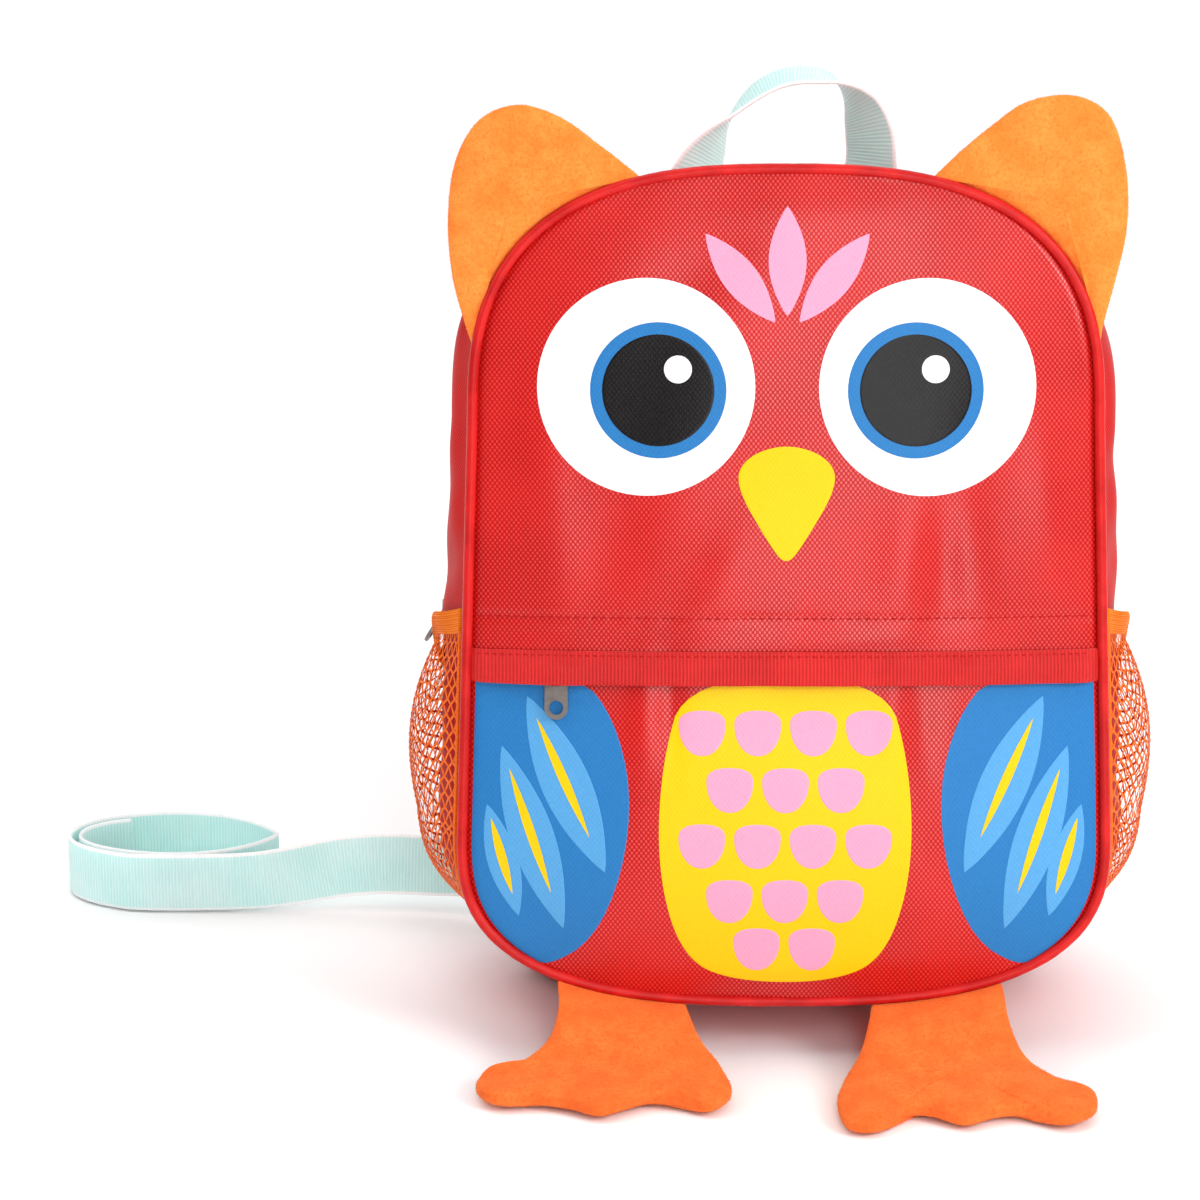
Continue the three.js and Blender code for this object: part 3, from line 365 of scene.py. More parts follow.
def gusset_outward(turn):
    step = 0.01
    before, after = np.stack(outline(FRONT, turn - step)), np.stack(outline(FRONT, turn + step))
    along = after - before
    across, up = along[1] / np.hypot(*along), -along[0] / np.hypot(*along)
    return np.stack([across, up * math.sin(GUSSET_LEAN), up * math.cos(GUSSET_LEAN)], -1)


def gusset_depth(turn):
    front = in_seam(FRONT_SEAM, *outline(FRONT, turn), 0)
    back = in_seam(BACK_SEAM, *outline(BACK, turn), 0)
    return np.linalg.norm(front - back, axis=-1)


def gusset_point(turn, share, lift=0.0, relief=0.0):
    """Point of the band between the seams; the base slopes back to where it stands on the floor."""
    turn, share, lift = np.broadcast_arrays(turn, share, lift)
    outward = gusset_outward(turn)
    base, top = smoothstep(-outward[..., 2], BULGE.base_from, 1), smoothstep(outward[..., 2], 0, 1)
    corner = smoothstep(-outward[..., 2], 0, BULGE.corner_to)
    height = lerp(lerp(BULGE.side, BULGE.base, base), BULGE.top, top)
    shape = lerp(BULGE.side_shape, BULGE.base_shape, corner)
    late = np.clip(share, 0, 1) ** lerp(1, BULGE.base_lag, corner)
    between = np.clip(np.sin(np.pi * late), 0, 1)
    swell = relief * ripple(turn * 0.14, share * 0.1, *RIPPLE.gusset) * between
    front = in_seam(FRONT_SEAM, *outline(FRONT, turn), 0)
    back = in_seam(BACK_SEAM, *outline(BACK, turn), 0)
    out = height * between ** shape + swell + lift
    point = lerp(front, back, share[..., None]) + outward * out[..., None]
    point[..., 2] = np.maximum(point[..., 2], np.maximum(-lift, 0))
    return point


# Meshes from arrays: a shape is points, faces and, where it has a weave, each point's place on the flat cloth

def grid_quads(index):
    return np.stack([index[:-1, :-1], index[:-1, 1:], index[1:, 1:], index[1:, :-1]], -1).reshape(-1, 4)


def wall(outer, inner, a, b):
    """A closed cloth wall between two grids of points, with a and b as their places on the flat cloth."""
    rows, columns = outer.shape[:2]
    index = np.arange(rows * columns).reshape(rows, columns)
    rim = np.concatenate([index[0, :-1], index[:-1, -1], index[-1, :0:-1], index[:0:-1, 0]])
    ahead, size = np.roll(rim, -1), rows * columns
    sides = np.stack([ahead, rim, rim + size, ahead + size], 1)
    quads = np.concatenate([grid_quads(index), grid_quads(index)[:, ::-1] + size, sides])
    flat = np.stack(np.broadcast_arrays(a, b), -1).reshape(-1, 2)
    return np.concatenate([outer.reshape(-1, 3), inner.reshape(-1, 3)]), [quads], np.tile(flat, (2, 1))


def skin(rings, closed=False):
    """A skin over rings of points, capped at the ends unless they close on themselves."""
    count, sides = rings.shape[:2]
    index = np.arange(count * sides).reshape(count, sides)
    wrapped = np.concatenate([index, index[:, :1]], 1)
    if closed:
        return rings.reshape(-1, 3), [grid_quads(np.concatenate([wrapped, wrapped[:1]]))]
    return rings.reshape(-1, 3), [grid_quads(wrapped), np.stack([index[0, ::-1], index[-1]])]


def tube(path, normals, radius, sides, closed=False, flat=1.0):
    ends = (np.roll(path, -1, 0), np.roll(path, 1, 0)) if closed else (np.gradient(path, axis=0), 0)
    tangents = unit(ends[0] - ends[1])
    across = unit(np.cross(tangents, normals))
    out = np.cross(across, tangents)
    angles = np.arange(sides) * TAU / sides
    ring = np.cos(angles)[:, None] * across[:, None] + flat * np.sin(angles)[:, None] * out[:, None]
    return skin(path[:, None] + radius * ring, closed)


def joined(parts):
    """Several shapes as one list of points and faces."""
    points, faces, start = [], {}, 0
    for part_points, part_faces, *_ in parts:
        points.append(part_points)
        for group in part_faces:
            faces.setdefault(group.shape[1], []).append(group + start)
        start += len(part_points)
    return np.concatenate(points), [np.concatenate(groups) for groups in faces.values()]


def capsules(starts, ends, normals, radius, arch=0.0, flat=1.0, sides=6):
    """Small round-ended bars, as stitches and zip teeth are."""
    shares = np.array([0, 0.1, 0.3, 0.7, 0.9, 1])
    swell = np.array([0.35, 0.8, 1, 1, 0.8, 0.35])
    along = ends - starts
    across = unit(np.cross(along, normals))
    arched = normals[:, None] * (arch * np.sin(np.pi * shares))[:, None]
    centres = starts[:, None] + along[:, None] * shares[:, None] + arched
    angles = np.arange(sides) * TAU / sides
    ring = np.cos(angles)[:, None] * across[:, None] + flat * np.sin(angles)[:, None] * normals[:, None]
    points = centres[:, :, None] + radius * swell[:, None, None] * ring[:, None]
    index = np.arange(points.size // 3).reshape(points.shape[:3])
    wrapped = np.concatenate([index, index[:, :, :1]], 2)
    quads = np.concatenate([grid_quads(rows) for rows in wrapped])
    caps = np.concatenate([index[:, 0, ::-1], index[:, -1]])
    return points.reshape(-1, 3), [quads, caps]


def signed_volume(points, faces):
    total = 0.0
    for group in faces:
        corners = points[group]
        for k in range(1, group.shape[1] - 1):
            total += np.einsum("ij,ij->", corners[:, 0], np.cross(corners[:, k], corners[:, k + 1]))
    return total


def add_piece(name, shape, material, replaces=(), sharp=40):
    """A closed mesh piece that rides on the bag."""
    points, faces, *cloth = shape
    points = np.asarray(points, np.float64)
    if signed_volume(points - points.mean(0), faces) < 0:
        faces = [group[:, ::-1] for group in faces]
    corners = np.concatenate([group.ravel() for group in faces])
    sizes = np.concatenate([np.full(len(group), group.shape[1]) for group in faces])
    mesh = bpy.data.meshes.new(name)
    mesh.vertices.add(len(points))
    mesh.vertices.foreach_set("co", points.astype(np.float32).ravel())
    mesh.loops.add(len(corners))
    mesh.loops.foreach_set("vertex_index", corners.astype(np.int32))
    mesh.polygons.add(len(sizes))
    mesh.polygons.foreach_set("loop_start", np.concatenate([[0], np.cumsum(sizes)[:-1]]).astype(np.int32))
    mesh.update(calc_edges=True)
    mesh.validate()
    mesh.shade_smooth()
    mesh.set_sharp_from_angle(angle=math.radians(sharp))
    if cloth:
        layer = mesh.uv_layers.new(name="cloth")
        layer.uv.foreach_set("vector", np.asarray(cloth[0], np.float32)[corners].ravel())
    mesh.materials.append(material)
    piece = bpy.data.objects.new(name, mesh)
    scene.collection.objects.link(piece)
    if replaces:
        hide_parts(*replaces)
    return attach(piece, "bag")


# Materials

class Look:
    """A material with short calls that add nodes and link them."""

    def __init__(self, name, **constants):
        self.material = bpy.data.materials.new(name)
        self.material.use_nodes = True
        self.tree = self.material.node_tree
        self.shader = self.tree.nodes["Principled BSDF"]
        for socket, value in constants.items():
            self.shader.inputs[socket.replace("_", " ")].default_value = value

    def feed(self, socket, value):
        if isinstance(value, bpy.types.NodeSocket):
            self.tree.links.new(value, socket)
        else:
            socket.default_value = value

    def add(self, kind, inputs, output=0, **settings):
        node = self.tree.nodes.new("ShaderNode" + kind)
        for setting, value in settings.items():
            setattr(node, setting, value)
        for socket, value in inputs.items():
            self.feed(node.inputs[socket], value)
        return node.outputs[output]

    def math(self, operation, *values):
        return self.add("Math", dict(enumerate(values)), operation=operation)

    def scaled(self, value, by, plus):
        return self.math("MULTIPLY_ADD", value, by, plus)

    def on_cloth(self):
        """The two directions of the flat cloth, in metres."""
        place = self.add("UVMap", {}, uv_map="cloth")
        node = self.tree.nodes.new("ShaderNodeSeparateXYZ")
        self.feed(node.inputs[0], place)
        return node.outputs["X"], node.outputs["Y"]

    def noise(self, size, detail=3.0, roughness=0.5):
        """Cloudy noise from 0 to 1, with clouds of a size in metres."""
        place = self.add("TexCoord", {}, "Object")
        inputs = {"Vector": place, "Scale": 1 / size, "Detail": detail, "Roughness": roughness}
        return self.add("TexNoise", inputs)

    def waves(self, distance, pitch):
        """A wave from -1 to 1 along a direction."""
        return self.math("COSINE", self.math("MULTIPLY", distance, TAU / pitch))

    def dots(self, a, b):
        """The raised dots of the polyester, from 0 to 1."""
        crossed = self.math("MULTIPLY", self.waves(a, DOTS.across), self.waves(b, DOTS.up))
        return self.spread(crossed, -0.25, 0.75)

    def spread(self, value, low, high):
        """A value from low to high, as a smooth step from 0 to 1."""
        return self.add("MapRange", {"Value": value, 1: low, 2: high}, interpolation_type="SMOOTHSTEP")

    def mix(self, share, first, second):
        return self.add("Mix", {0: share, 6: first, 7: second}, 2, data_type="RGBA")

    def colour(self, value):
        self.feed(self.shader.inputs["Base Color"], value)

    def shine(self, level):
        self.feed(self.shader.inputs["Specular IOR Level"], level)

    def rough(self, value):
        self.feed(self.shader.inputs["Roughness"], value)

    def bump(self, height, distance, strength):
        """Relief of a height from 0 to 1 that stands for a distance; a second call lies on the first."""
        socket = self.shader.inputs["Normal"]
        inputs = {"Height": height, "Distance": distance, "Strength": strength}
        if socket.is_linked:
            inputs["Normal"] = socket.links[0].from_socket
        self.feed(socket, self.add("Bump", inputs))


def rgb(red, green, blue):
    """A colour from its 0 to 255 screen values."""
    share = np.array([red, green, blue]) / 255
    linear = np.where(share <= 0.04045, share / 12.92, ((share + 0.055) / 1.055) ** 2.4)
    return (*linear.tolist(), 1.0)


def polyester_look(name, shine, dot_shine):
    """Red polyester with raised dots in a diamond weave, the dots coloured lighter than the ground as a
    painted highlight on their tops.
    """
    look = Look(name)
    a, b = look.on_cloth()
    dots = look.dots(a, b)
    threads = look.math("MULTIPLY", look.waves(a, 0.00026), look.waves(b, 0.00030))
    cloud = look.spread(look.noise(0.03), 0.3, 0.7)
    ground = look.mix(cloud, rgb(170, 10, 12), rgb(188, 14, 15))
    # painted highlight: the raised dots take a lighter red than the ground between them
    look.colour(look.mix(dots, ground, rgb(212, 40, 34)))
    look.rough(look.scaled(cloud, 0.04, 0.32))
    look.shine(look.scaled(dots, dot_shine, shine))
    look.bump(dots, 0.00002, 0.8)
    look.bump(threads, 0.00003, 0.04)
    return look.material


def piping_look():
    """Satin bias tape round a cord."""
    look = Look("red_piping", Specular_IOR_Level=0.2)
    grain = look.noise(0.0009, 2.0)
    look.colour(look.mix(look.spread(look.noise(0.012), 0.35, 0.65), rgb(184, 18, 18), rgb(206, 30, 28)))
    look.rough(look.scaled(grain, 0.2, 0.26))
    look.bump(grain, 0.00012, 0.5)
    return look.material


def ribbed_look(name, dark, light, rib, rough, sheen=0.2, through=0.0, selvedge=None, shine=0.4):
    """Ribbed tape or webbing: threads along it, ribs across it, its colour darker in their grooves as painted
    shade and, where a selvedge is given, a painted highlight along its edges.
    """
    look = Look(name, Specular_IOR_Level=shine, Sheen_Weight=sheen, Sheen_Roughness=0.45,
                Subsurface_Weight=through, Subsurface_Scale=0.002)
    look.shader.inputs["Subsurface Radius"].default_value = (1, 1, 1)
    a, b = look.on_cloth()
    ribs = look.spread(look.waves(a, rib), -0.7, 0.7)
    threads = look.spread(look.waves(b, 0.00055), -0.8, 0.8)
    weave = look.scaled(threads, 0.3, look.math("MULTIPLY", ribs, 0.7))
    worn = look.spread(look.noise(0.02), 0.3, 0.7)
    # painted shade: the colour follows the weave's relief, darker in the grooves between ribs and threads,
    # over a random tone
    tone = look.scaled(worn, 0.3, look.math("MULTIPLY", weave, 0.7))
    ground = look.mix(tone, dark, light)
    # painted highlight: a near-white line along both edges, where the edges catch the light
    if selvedge:
        edge = look.spread(look.math("ABSOLUTE", b), selvedge - 0.0006, selvedge)
        ground = look.mix(edge, ground, rgb(244, 252, 251))
    look.colour(ground)
    look.rough(look.scaled(weave, -0.15, rough))
    look.bump(weave, 0.00012, 0.7)
    look.bump(look.noise(0.0006, 2.0), 0.00004, 0.4)
    return look.material


def plush_look(name, deep, dark, light):
    """Short plush, brushed unevenly."""
    look = Look(name, Specular_IOR_Level=0.15, Sheen_Weight=0.35, Sheen_Roughness=0.5)
    look.shader.inputs["Sheen Tint"].default_value = rgb(255, 190, 120)
    nap = look.spread(look.noise(0.009, 4.0, 0.6), 0.3, 0.72)
    fibre = look.noise(0.0011, 3.0, 0.7)
    brushed = look.mix(nap, dark, light)
    look.colour(look.mix(look.spread(fibre, 0.2, 0.6), deep, brushed))
    look.rough(look.scaled(fibre, 0.2, 0.78))
    look.bump(fibre, 0.0005, 0.8)
    return look.material


def thread_look(name, colour, dark, rough=0.5):
    """Twisted thread."""
    look = Look(name, Specular_IOR_Level=0.15)
    strands = look.noise(0.0005, 2.0)
    look.colour(look.mix(look.spread(strands, 0.3, 0.7), dark, colour))
    look.rough(look.scaled(strands, 0.2, rough - 0.1))
    look.bump(strands, 0.00008, 0.6)
    return look.material


def print_look(name, colour, shade, rough=0.42):
    """Smooth printed film that shows a little of the weave under it, in its relief and as a painted highlight
    that lightens it over the raised dots.
    """
    look = Look(name, Specular_IOR_Level=0.18)
    dots = look.dots(*look.on_cloth())
    speckle = look.noise(0.0012, 3.0)
    # painted highlight: a quarter of the tone follows the raised dots under the film; the rest is random
    # speckle
    tone = look.scaled(dots, 0.25, look.math("MULTIPLY", speckle, 0.75))
    look.colour(look.mix(tone, shade, colour))
    look.rough(look.scaled(speckle, 0.14, rough - 0.07))
    look.bump(dots, 0.00004, 0.4)
    return look.material


def metal_look():
    """Dark nickel, rubbed brighter here and there."""
    look = Look("zip_metal", Metallic=1.0)
    worn = look.spread(look.noise(0.006, 2.0), 0.3, 0.7)
    look.colour(look.mix(worn, rgb(124, 112, 108), rgb(176, 168, 164)))
    look.rough(look.scaled(worn, -0.14, 0.42))
    look.bump(look.noise(0.0005), 0.00003, 0.4)
    return look.material


def plastic_look():
    """Moulded plastic with a fine grain."""
    look = Look("mint_plastic", Specular_IOR_Level=0.5)
    grain = look.noise(0.0006, 2.0)
    look.colour(look.mix(look.noise(0.01), rgb(176, 218, 208), rgb(198, 234, 226)))
    look.rough(look.scaled(grain, 0.2, 0.3))
    look.bump(grain, 0.00004, 0.5)
    return look.material


def floor_look():
    look = Look("floor", Specular_IOR_Level=0.2)
    cloud = look.noise(0.4, 2.0)
    look.colour(look.mix(cloud, rgb(247, 247, 247), rgb(250, 250, 250)))
    look.rough(look.scaled(cloud, 0.1, 0.75))
    return look.material


LOOKS = Sizes(
    polyester=polyester_look("red_polyester", 0.2, 0.6),
    side_polyester=polyester_look("side_polyester", 0.012, 0.0),
    piping=piping_look(),
    grosgrain=ribbed_look("red_grosgrain", rgb(166, 14, 17), rgb(218, 34, 31), COVER_TAPE.rib, 0.6, 0.1,
                          shine=0.25),
    zip_tape=ribbed_look("red_zip_tape", rgb(168, 18, 20), rgb(214, 36, 32), 0.0008, 0.65),
    # painted shade: the feet's plush is the ears' plush made darker, a shaded copy of one material
    ear_plush=plush_look("ear_plush", rgb(240, 116, 36), rgb(250, 132, 50), rgb(255, 152, 68)),
    foot_plush=plush_look("foot_plush", rgb(230, 92, 28), rgb(242, 106, 42), rgb(250, 124, 54)),
    net=thread_look("orange_net", rgb(248, 120, 32), rgb(228, 88, 12)),
    elastic=ribbed_look("orange_elastic", rgb(220, 90, 10), rgb(246, 136, 28), 0.0009, 0.6, 0.0, shine=0.05),
    # the webbing's near-white line along its edges is a painted highlight
    webbing=ribbed_look("mint_webbing", rgb(186, 230, 226), rgb(222, 247, 244), WEBBING.rib, 0.55, 0.1,
                        through=0.85, selvedge=0.0101),
    plastic=plastic_look(),
    metal=metal_look(),
    red_thread=thread_look("red_thread", rgb(196, 30, 30), rgb(166, 16, 18)),
    mint_thread=thread_look("mint_thread", rgb(226, 246, 242), rgb(196, 228, 222)),
    red_teeth=thread_look("red_teeth", rgb(214, 40, 36), rgb(178, 22, 22), 0.4),
    blue=print_look("print_blue", rgb(44, 124, 186), rgb(34, 108, 172)),
    sky=print_look("print_sky", rgb(92, 164, 216), rgb(76, 148, 204)),
    yellow=print_look("print_yellow", rgb(246, 200, 4), rgb(236, 186, 1)),
    pink=print_look("print_pink", rgb(248, 164, 192), rgb(238, 146, 178)),
    white=print_look("print_white", rgb(248, 244, 248), rgb(236, 230, 236)),
    black=print_look("print_black", rgb(26, 22, 24), rgb(14, 12, 13), 0.3),
)


# Webbing

def stations(route, wanted):
    """Place, across and through of a strap along a route, its width turned towards the wanted way."""
    tangents = unit(np.gradient(route, axis=0))
    across = unit(wanted - tangents * np.sum(wanted * tangents, 1, keepdims=True))
    return Sizes(place=route, across=across, through=np.cross(tangents, across))


def ribbon(strip, width):
    """Webbing with ribs across it and a firm selvedge along each edge."""
    shares = np.array([-1, -0.985, -0.94, -0.87, -0.45, 0, 0.45, 0.87, 0.94, 0.985, 1])
    fullness = np.sqrt(1 - np.abs(shares) ** 14)
    from_selvedge = (np.abs(shares) - WEBBING.selvedge_at) / WEBBING.selvedge_half
    selvedge = WEBBING.selvedge * np.exp(-from_selvedge ** 2)
    ribbed = 1 - smoothstep(np.abs(shares), 0.82, 0.9)
    along = run_length(strip.place)
    wave = 0.5 + 0.5 * np.cos(TAU * along / WEBBING.rib)
    ribs = WEBBING.rib_height * ribbed * wave[:, None]
    lift = (WEBBING.thickness / 2 - WEBBING.rib_height) * fullness + selvedge + ribs
    loop = np.concatenate([np.arange(len(shares)), np.arange(len(shares) - 2, 0, -1)])
    sign = np.concatenate([np.ones(len(shares)), -np.ones(len(shares) - 2)])
    sign[[0, len(shares) - 1]] = 0
    rings = (strip.place[:, None] + strip.across[:, None] * (width / 2 * shares[loop])[:, None]
             + strip.through[:, None] * (lift[:, loop] * sign)[:, :, None])
    cloth = np.stack(np.broadcast_arrays(along[:, None], width / 2 * shares[loop]), -1).reshape(-1, 2)
    return (*skin(rings), cloth)


def rein_rows():
    """The rein's route with its coil, standing on its edge on the floor."""
    coil = []
    for turn in np.linspace(0, REIN_COIL.turns, REIN_COIL.steps + 1):
        angle = math.radians(REIN_COIL.start_angle) - TAU * turn
        inward = REIN_COIL.step * turn + REIN_COIL.curl_in * max(0, turn - 1) ** 2
        pinched = abs(math.sin(angle)) ** (REIN_COIL.pinch * (0.5 + 0.5 * math.cos(angle)))
        coil.append((REIN_COIL.x + (REIN_COIL.half_long - inward) * math.cos(angle),
                     REIN_COIL.y + (REIN_COIL.half_short - inward) * math.sin(angle) * pinched,
                     WEBBING.width / 2 + GAP, 0))
    return REIN_ROUTE + coil


def add_rein():
    rows = smooth_route(rein_rows(), WEBBING.step)
    lean = np.radians(rows[:, 3])
    strip = stations(rows[:, :3], np.stack([np.zeros_like(lean), np.sin(lean), np.cos(lean)], 1))
    rein = add_piece("rein", ribbon(strip, WEBBING.width), LOOKS.webbing, ["rein_strap"])


def add_handle():
    rows = smooth_route(HANDLE_ROUTE, WEBBING.step)
    turn = np.radians(rows[:, 3])
    strip = stations(rows[:, :3], np.stack([np.cos(turn), np.sin(turn), np.zeros_like(turn)], 1))
    add_piece("handle", ribbon(strip, WEBBING.width), LOOKS.webbing, ["grab_handle"])


def strap_stations(side, start, end, step):
    """Stations of a shoulder strap between two shares of its length."""
    sign = 1 if side == "right" else -1
    rows = np.array(STRAP_ROUTE)
    route = smooth_route(in_seam(BACK_SEAM, sign * rows[:, 0], rows[:, 1], -rows[:, 2]), STEP.route)
    lengths = run_length(route)
    count = max(2, round(lengths[-1] * (end - start) / step) + 1)
    route = at_length(route, lengths, np.linspace(start, end, count) * lengths[-1])
    return stations(route, np.tile([1.0, 0, 0], (len(route), 1)))


# Body

def inset_size(size, by):
    return Sizes(height=size.height - 2 * by, base_half=size.base_half - by,
                 shoulder_half=size.shoulder_half - by, base_corner=size.base_corner - by,
                 top_arch=size.top_arch - by)


def panel_heights(size, low, high, step):
    """Heights of a panel's rows, closest together where the outline turns."""
    shoulder = size.height - size.top_arch
    quarter = soft_power(np.sin(np.linspace(0, np.pi / 2, 44)))
    heights = np.concatenate([size.base_corner * (1 - quarter[::-1]),
                              np.arange(size.base_corner, shoulder, step),
                              shoulder + size.top_arch * quarter])
    inside = heights[(heights > low + step / 3) & (heights < high - step / 3)]
    inside = inside[np.concatenate([[True], np.diff(inside) > 0.0002])]
    return np.concatenate([[low], inside, [high]])


def panel(size, point, low, high, outer, inner, columns, step):
    """A cloth panel between two heights."""
    small = inset_size(size, PANEL_INSET)
    low, high = max(low - PANEL_INSET, 0.0001), min(high - PANEL_INSET, small.height * 0.9997)
    heights = panel_heights(small, low, high, step)
    u = np.sin(np.linspace(-1, 1, columns) * np.pi / 2) * half_width(small, heights)[:, None]
    v = np.broadcast_to(heights[:, None] + PANEL_INSET, u.shape)
    return wall(point(u, v, outer), point(u, v, inner), u, v)


def add_panels():
    shape = panel(FRONT, front_point, FRONT_ZIP.top + GAP, FRONT.height, 0, -WALL, columns=130, step=0.0017)
    front = add_piece("front_cloth", shape, LOOKS.polyester, ["front_panel"])
    shape = panel(FRONT, front_point, 0, POCKET_TOP, 0, -WALL, columns=130, step=0.0017)
    pocket = add_piece("pocket_cloth", shape, LOOKS.polyester, ["pocket_panel"])
    shape = panel(BACK, back_point, 0, BACK.height, WALL, 0, columns=56, step=0.004)
    back = add_piece("back_cloth", shape, LOOKS.polyester, ["back_panel"])
    shape = panel(FRONT, front_point, FRONT_ZIP.bottom, FRONT_ZIP.top, 0, -FRONT_ZIP.thickness, columns=130,
                  step=0.0012)
    add_piece("front_zip_tape", shape, LOOKS.zip_tape, ["front_zip"])


def add_piping():
    turns = even_turns(0, 4, STEP.piping)[:-1]
    path = in_seam(FRONT_SEAM, *outline(FRONT, turns), 0)
    ahead = in_seam(FRONT_SEAM, 0, 0, 1) - in_seam(FRONT_SEAM, 0, 0, 0)
    along = np.linspace(0, TAU, len(turns), endpoint=False)
    uneven = 1 + 0.02 * np.sin(61 * along) * np.sin(7 * along) + 0.012 * np.sin(173 * along)
    shape = tube(path, np.broadcast_to(ahead, path.shape), (PIPING_RADIUS * uneven)[:, None, None], 12, True)
    add_piece("piping_cord", shape, LOOKS.piping, ["piping"])


def zip_ends():
    return [side_turn(MAIN_ZIP.end_height, side) for side in ("right", "left")]


def gusset_strip(turns, start, end, thickness, columns):
    """A strip of the gusset between two shares of its depth."""
    shares = lerp(start[:, None], end[:, None], np.linspace(0, 1, columns))
    along = run_length(in_seam(FRONT_SEAM, *outline(FRONT, turns), 0))[:, None]
    turns = turns[:, None]
    outer, inner = gusset_point(turns, shares, 0, 1), gusset_point(turns, shares, -thickness, 1)
    return wall(outer, inner, along, shares * gusset_depth(turns))


def add_gusset():
    right, left = zip_ends()
    arch = even_turns(right, left, STEP.gusset)
    base = even_turns(left, 4 + right, STEP.gusset)
    look, slot = LOOKS.side_polyester, "red_polyester"
    depth = gusset_depth(arch)
    near, far = SEAM_EDGE.front / depth, 1 - SEAM_EDGE.back / depth
    half = MAIN_ZIP.width / 2 / depth
    zip_near, zip_far = MAIN_ZIP.middle - half, MAIN_ZIP.middle + half
    shape = gusset_strip(arch, near, zip_near, WALL, columns=20)
    strip = add_piece("gusset_front_cloth", shape, look, ["gusset_front"])
    shape = gusset_strip(arch, zip_far, far, WALL, columns=20)
    strip = add_piece("gusset_back_cloth", shape, look, ["gusset_back"])
    shape = gusset_strip(arch, zip_near, zip_far, MAIN_ZIP.thickness, columns=9)
    add_piece("main_zip_tape", shape, LOOKS.zip_tape, ["main_zip"])
    depth = gusset_depth(base)
    shape = gusset_strip(base, SEAM_EDGE.front / depth, 1 - SEAM_EDGE.back / depth, WALL, columns=36)
    strip = add_piece("gusset_base_cloth", shape, look, ["gusset_base"])


# Zips, tape and stitching

def zip_teeth(path, across, outward):
    """Two rows of teeth that meet along a path."""
    lengths = run_length(path)
    wanted = np.arange(TOOTH.pitch, lengths[-1] - TOOTH.pitch, TOOTH.pitch / 2)
    place, sideways, out = (at_length(rows, lengths, wanted) for rows in (path, across, outward))
    sign = np.where(np.arange(len(wanted)) % 2, 1.0, -1.0)[:, None]
    middle = place + sideways * sign * 0.25 * TOOTH.length + out * 0.4 * TOOTH.radius
    half = sideways * TOOTH.length / 2
    return capsules(middle - half, middle + half, out, TOOTH.radius, flat=0.8, sides=5)


def add_zip_teeth():
    turns = even_turns(*zip_ends(), STEP.teeth)
    path = gusset_point(turns, MAIN_ZIP.middle, 0, 1)
    across = unit(gusset_point(turns, MAIN_ZIP.middle + 0.02, 0, 1) - path)
    shape = zip_teeth(path, across, gusset_outward(turns))
    add_piece("main_zip_teeth", shape, LOOKS.red_teeth)
    u = np.linspace(-1, 1, 120) * (half_width(FRONT, POCKET_TOP) - FRONT_ZIP.end_inset)
    middle = (FRONT_ZIP.bottom + FRONT_ZIP.top) / 2
    path = front_point(u, np.full_like(u, middle))
    across = unit(front_point(u, np.full_like(u, middle + 0.001)) - path)
    along = unit(np.gradient(path, axis=0))
    shape = zip_teeth(path, across, unit(np.cross(along, across)))
    add_piece("front_zip_teeth", shape, LOOKS.red_teeth)


def tape_lift(u, v, share):
    """How far the tape stands off the front: sewn along its top, loose over the zip and the slider."""
    fall = smoothstep(COVER_TAPE.top - v, 0, COVER_TAPE.sewn_share * (COVER_TAPE.top - COVER_TAPE.bottom))
    hump = np.exp(-((u - FRONT_ZIP.slider_across) / COVER_TAPE.hump_half) ** 2)
    edge = smoothstep(1 - np.abs(share), 0, COVER_TAPE.end_share)
    wavy = sum(height * np.sin(TAU * u / wave + start) for height, wave, start in TAPE_WAVES)
    raised = COVER_TAPE.edge_lift * edge + COVER_TAPE.hump_lift * hump + wavy * edge
    return COVER_TAPE.seam_lift + fall * raised


def add_cover_tape():
    climb = np.concatenate([[0, 0.02, 0.06], np.linspace(0.12, 0.88, 8), [0.94, 0.98, 1]])
    v = lerp(COVER_TAPE.bottom, COVER_TAPE.top, climb)[:, None]
    count = round(2 * FRONT.base_half / COVER_TAPE.rib * 6) + 1
    share = np.linspace(-1, 1, count)[None]
    u = share * (half_width(FRONT, v) - COVER_TAPE.inset)
    v = np.broadcast_to(v, u.shape)
    inside = smoothstep(np.minimum(climb, 1 - climb), 0.05, 0.14)[:, None]
    round_edge = COVER_TAPE.round_edge * (1 - smoothstep(np.minimum(climb, 1 - climb), 0, 0.05))[:, None]
    ribs = COVER_TAPE.rib_height * inside * (0.5 + 0.5 * np.cos(TAU * u / COVER_TAPE.rib))
    lift = tape_lift(u, v, share)
    outer = front_point(u, v, lift + COVER_TAPE.thickness + ribs - round_edge)
    shape = wall(outer, front_point(u, v, lift), u, v)
    add_piece("cover_tape", shape, LOOKS.grosgrain, ["zip_cover_tape"])


def stitch_row(path, normals, pitch, radius=STITCH.radius):
    """Stitches along a path, each with its ends sunk in the cloth."""
    lengths = run_length(path)
    starts = np.arange(pitch * 0.3, lengths[-1] - pitch * STITCH.filled, pitch)
    ends = starts + pitch * STITCH.filled
    out = unit(at_length(normals, lengths, starts))
    sunk = out * radius * 0.5
    first, last = at_length(path, lengths, starts) - sunk, at_length(path, lengths, ends) - sunk
    return capsules(first, last, out, radius, arch=radius * 1.6, flat=0.8)


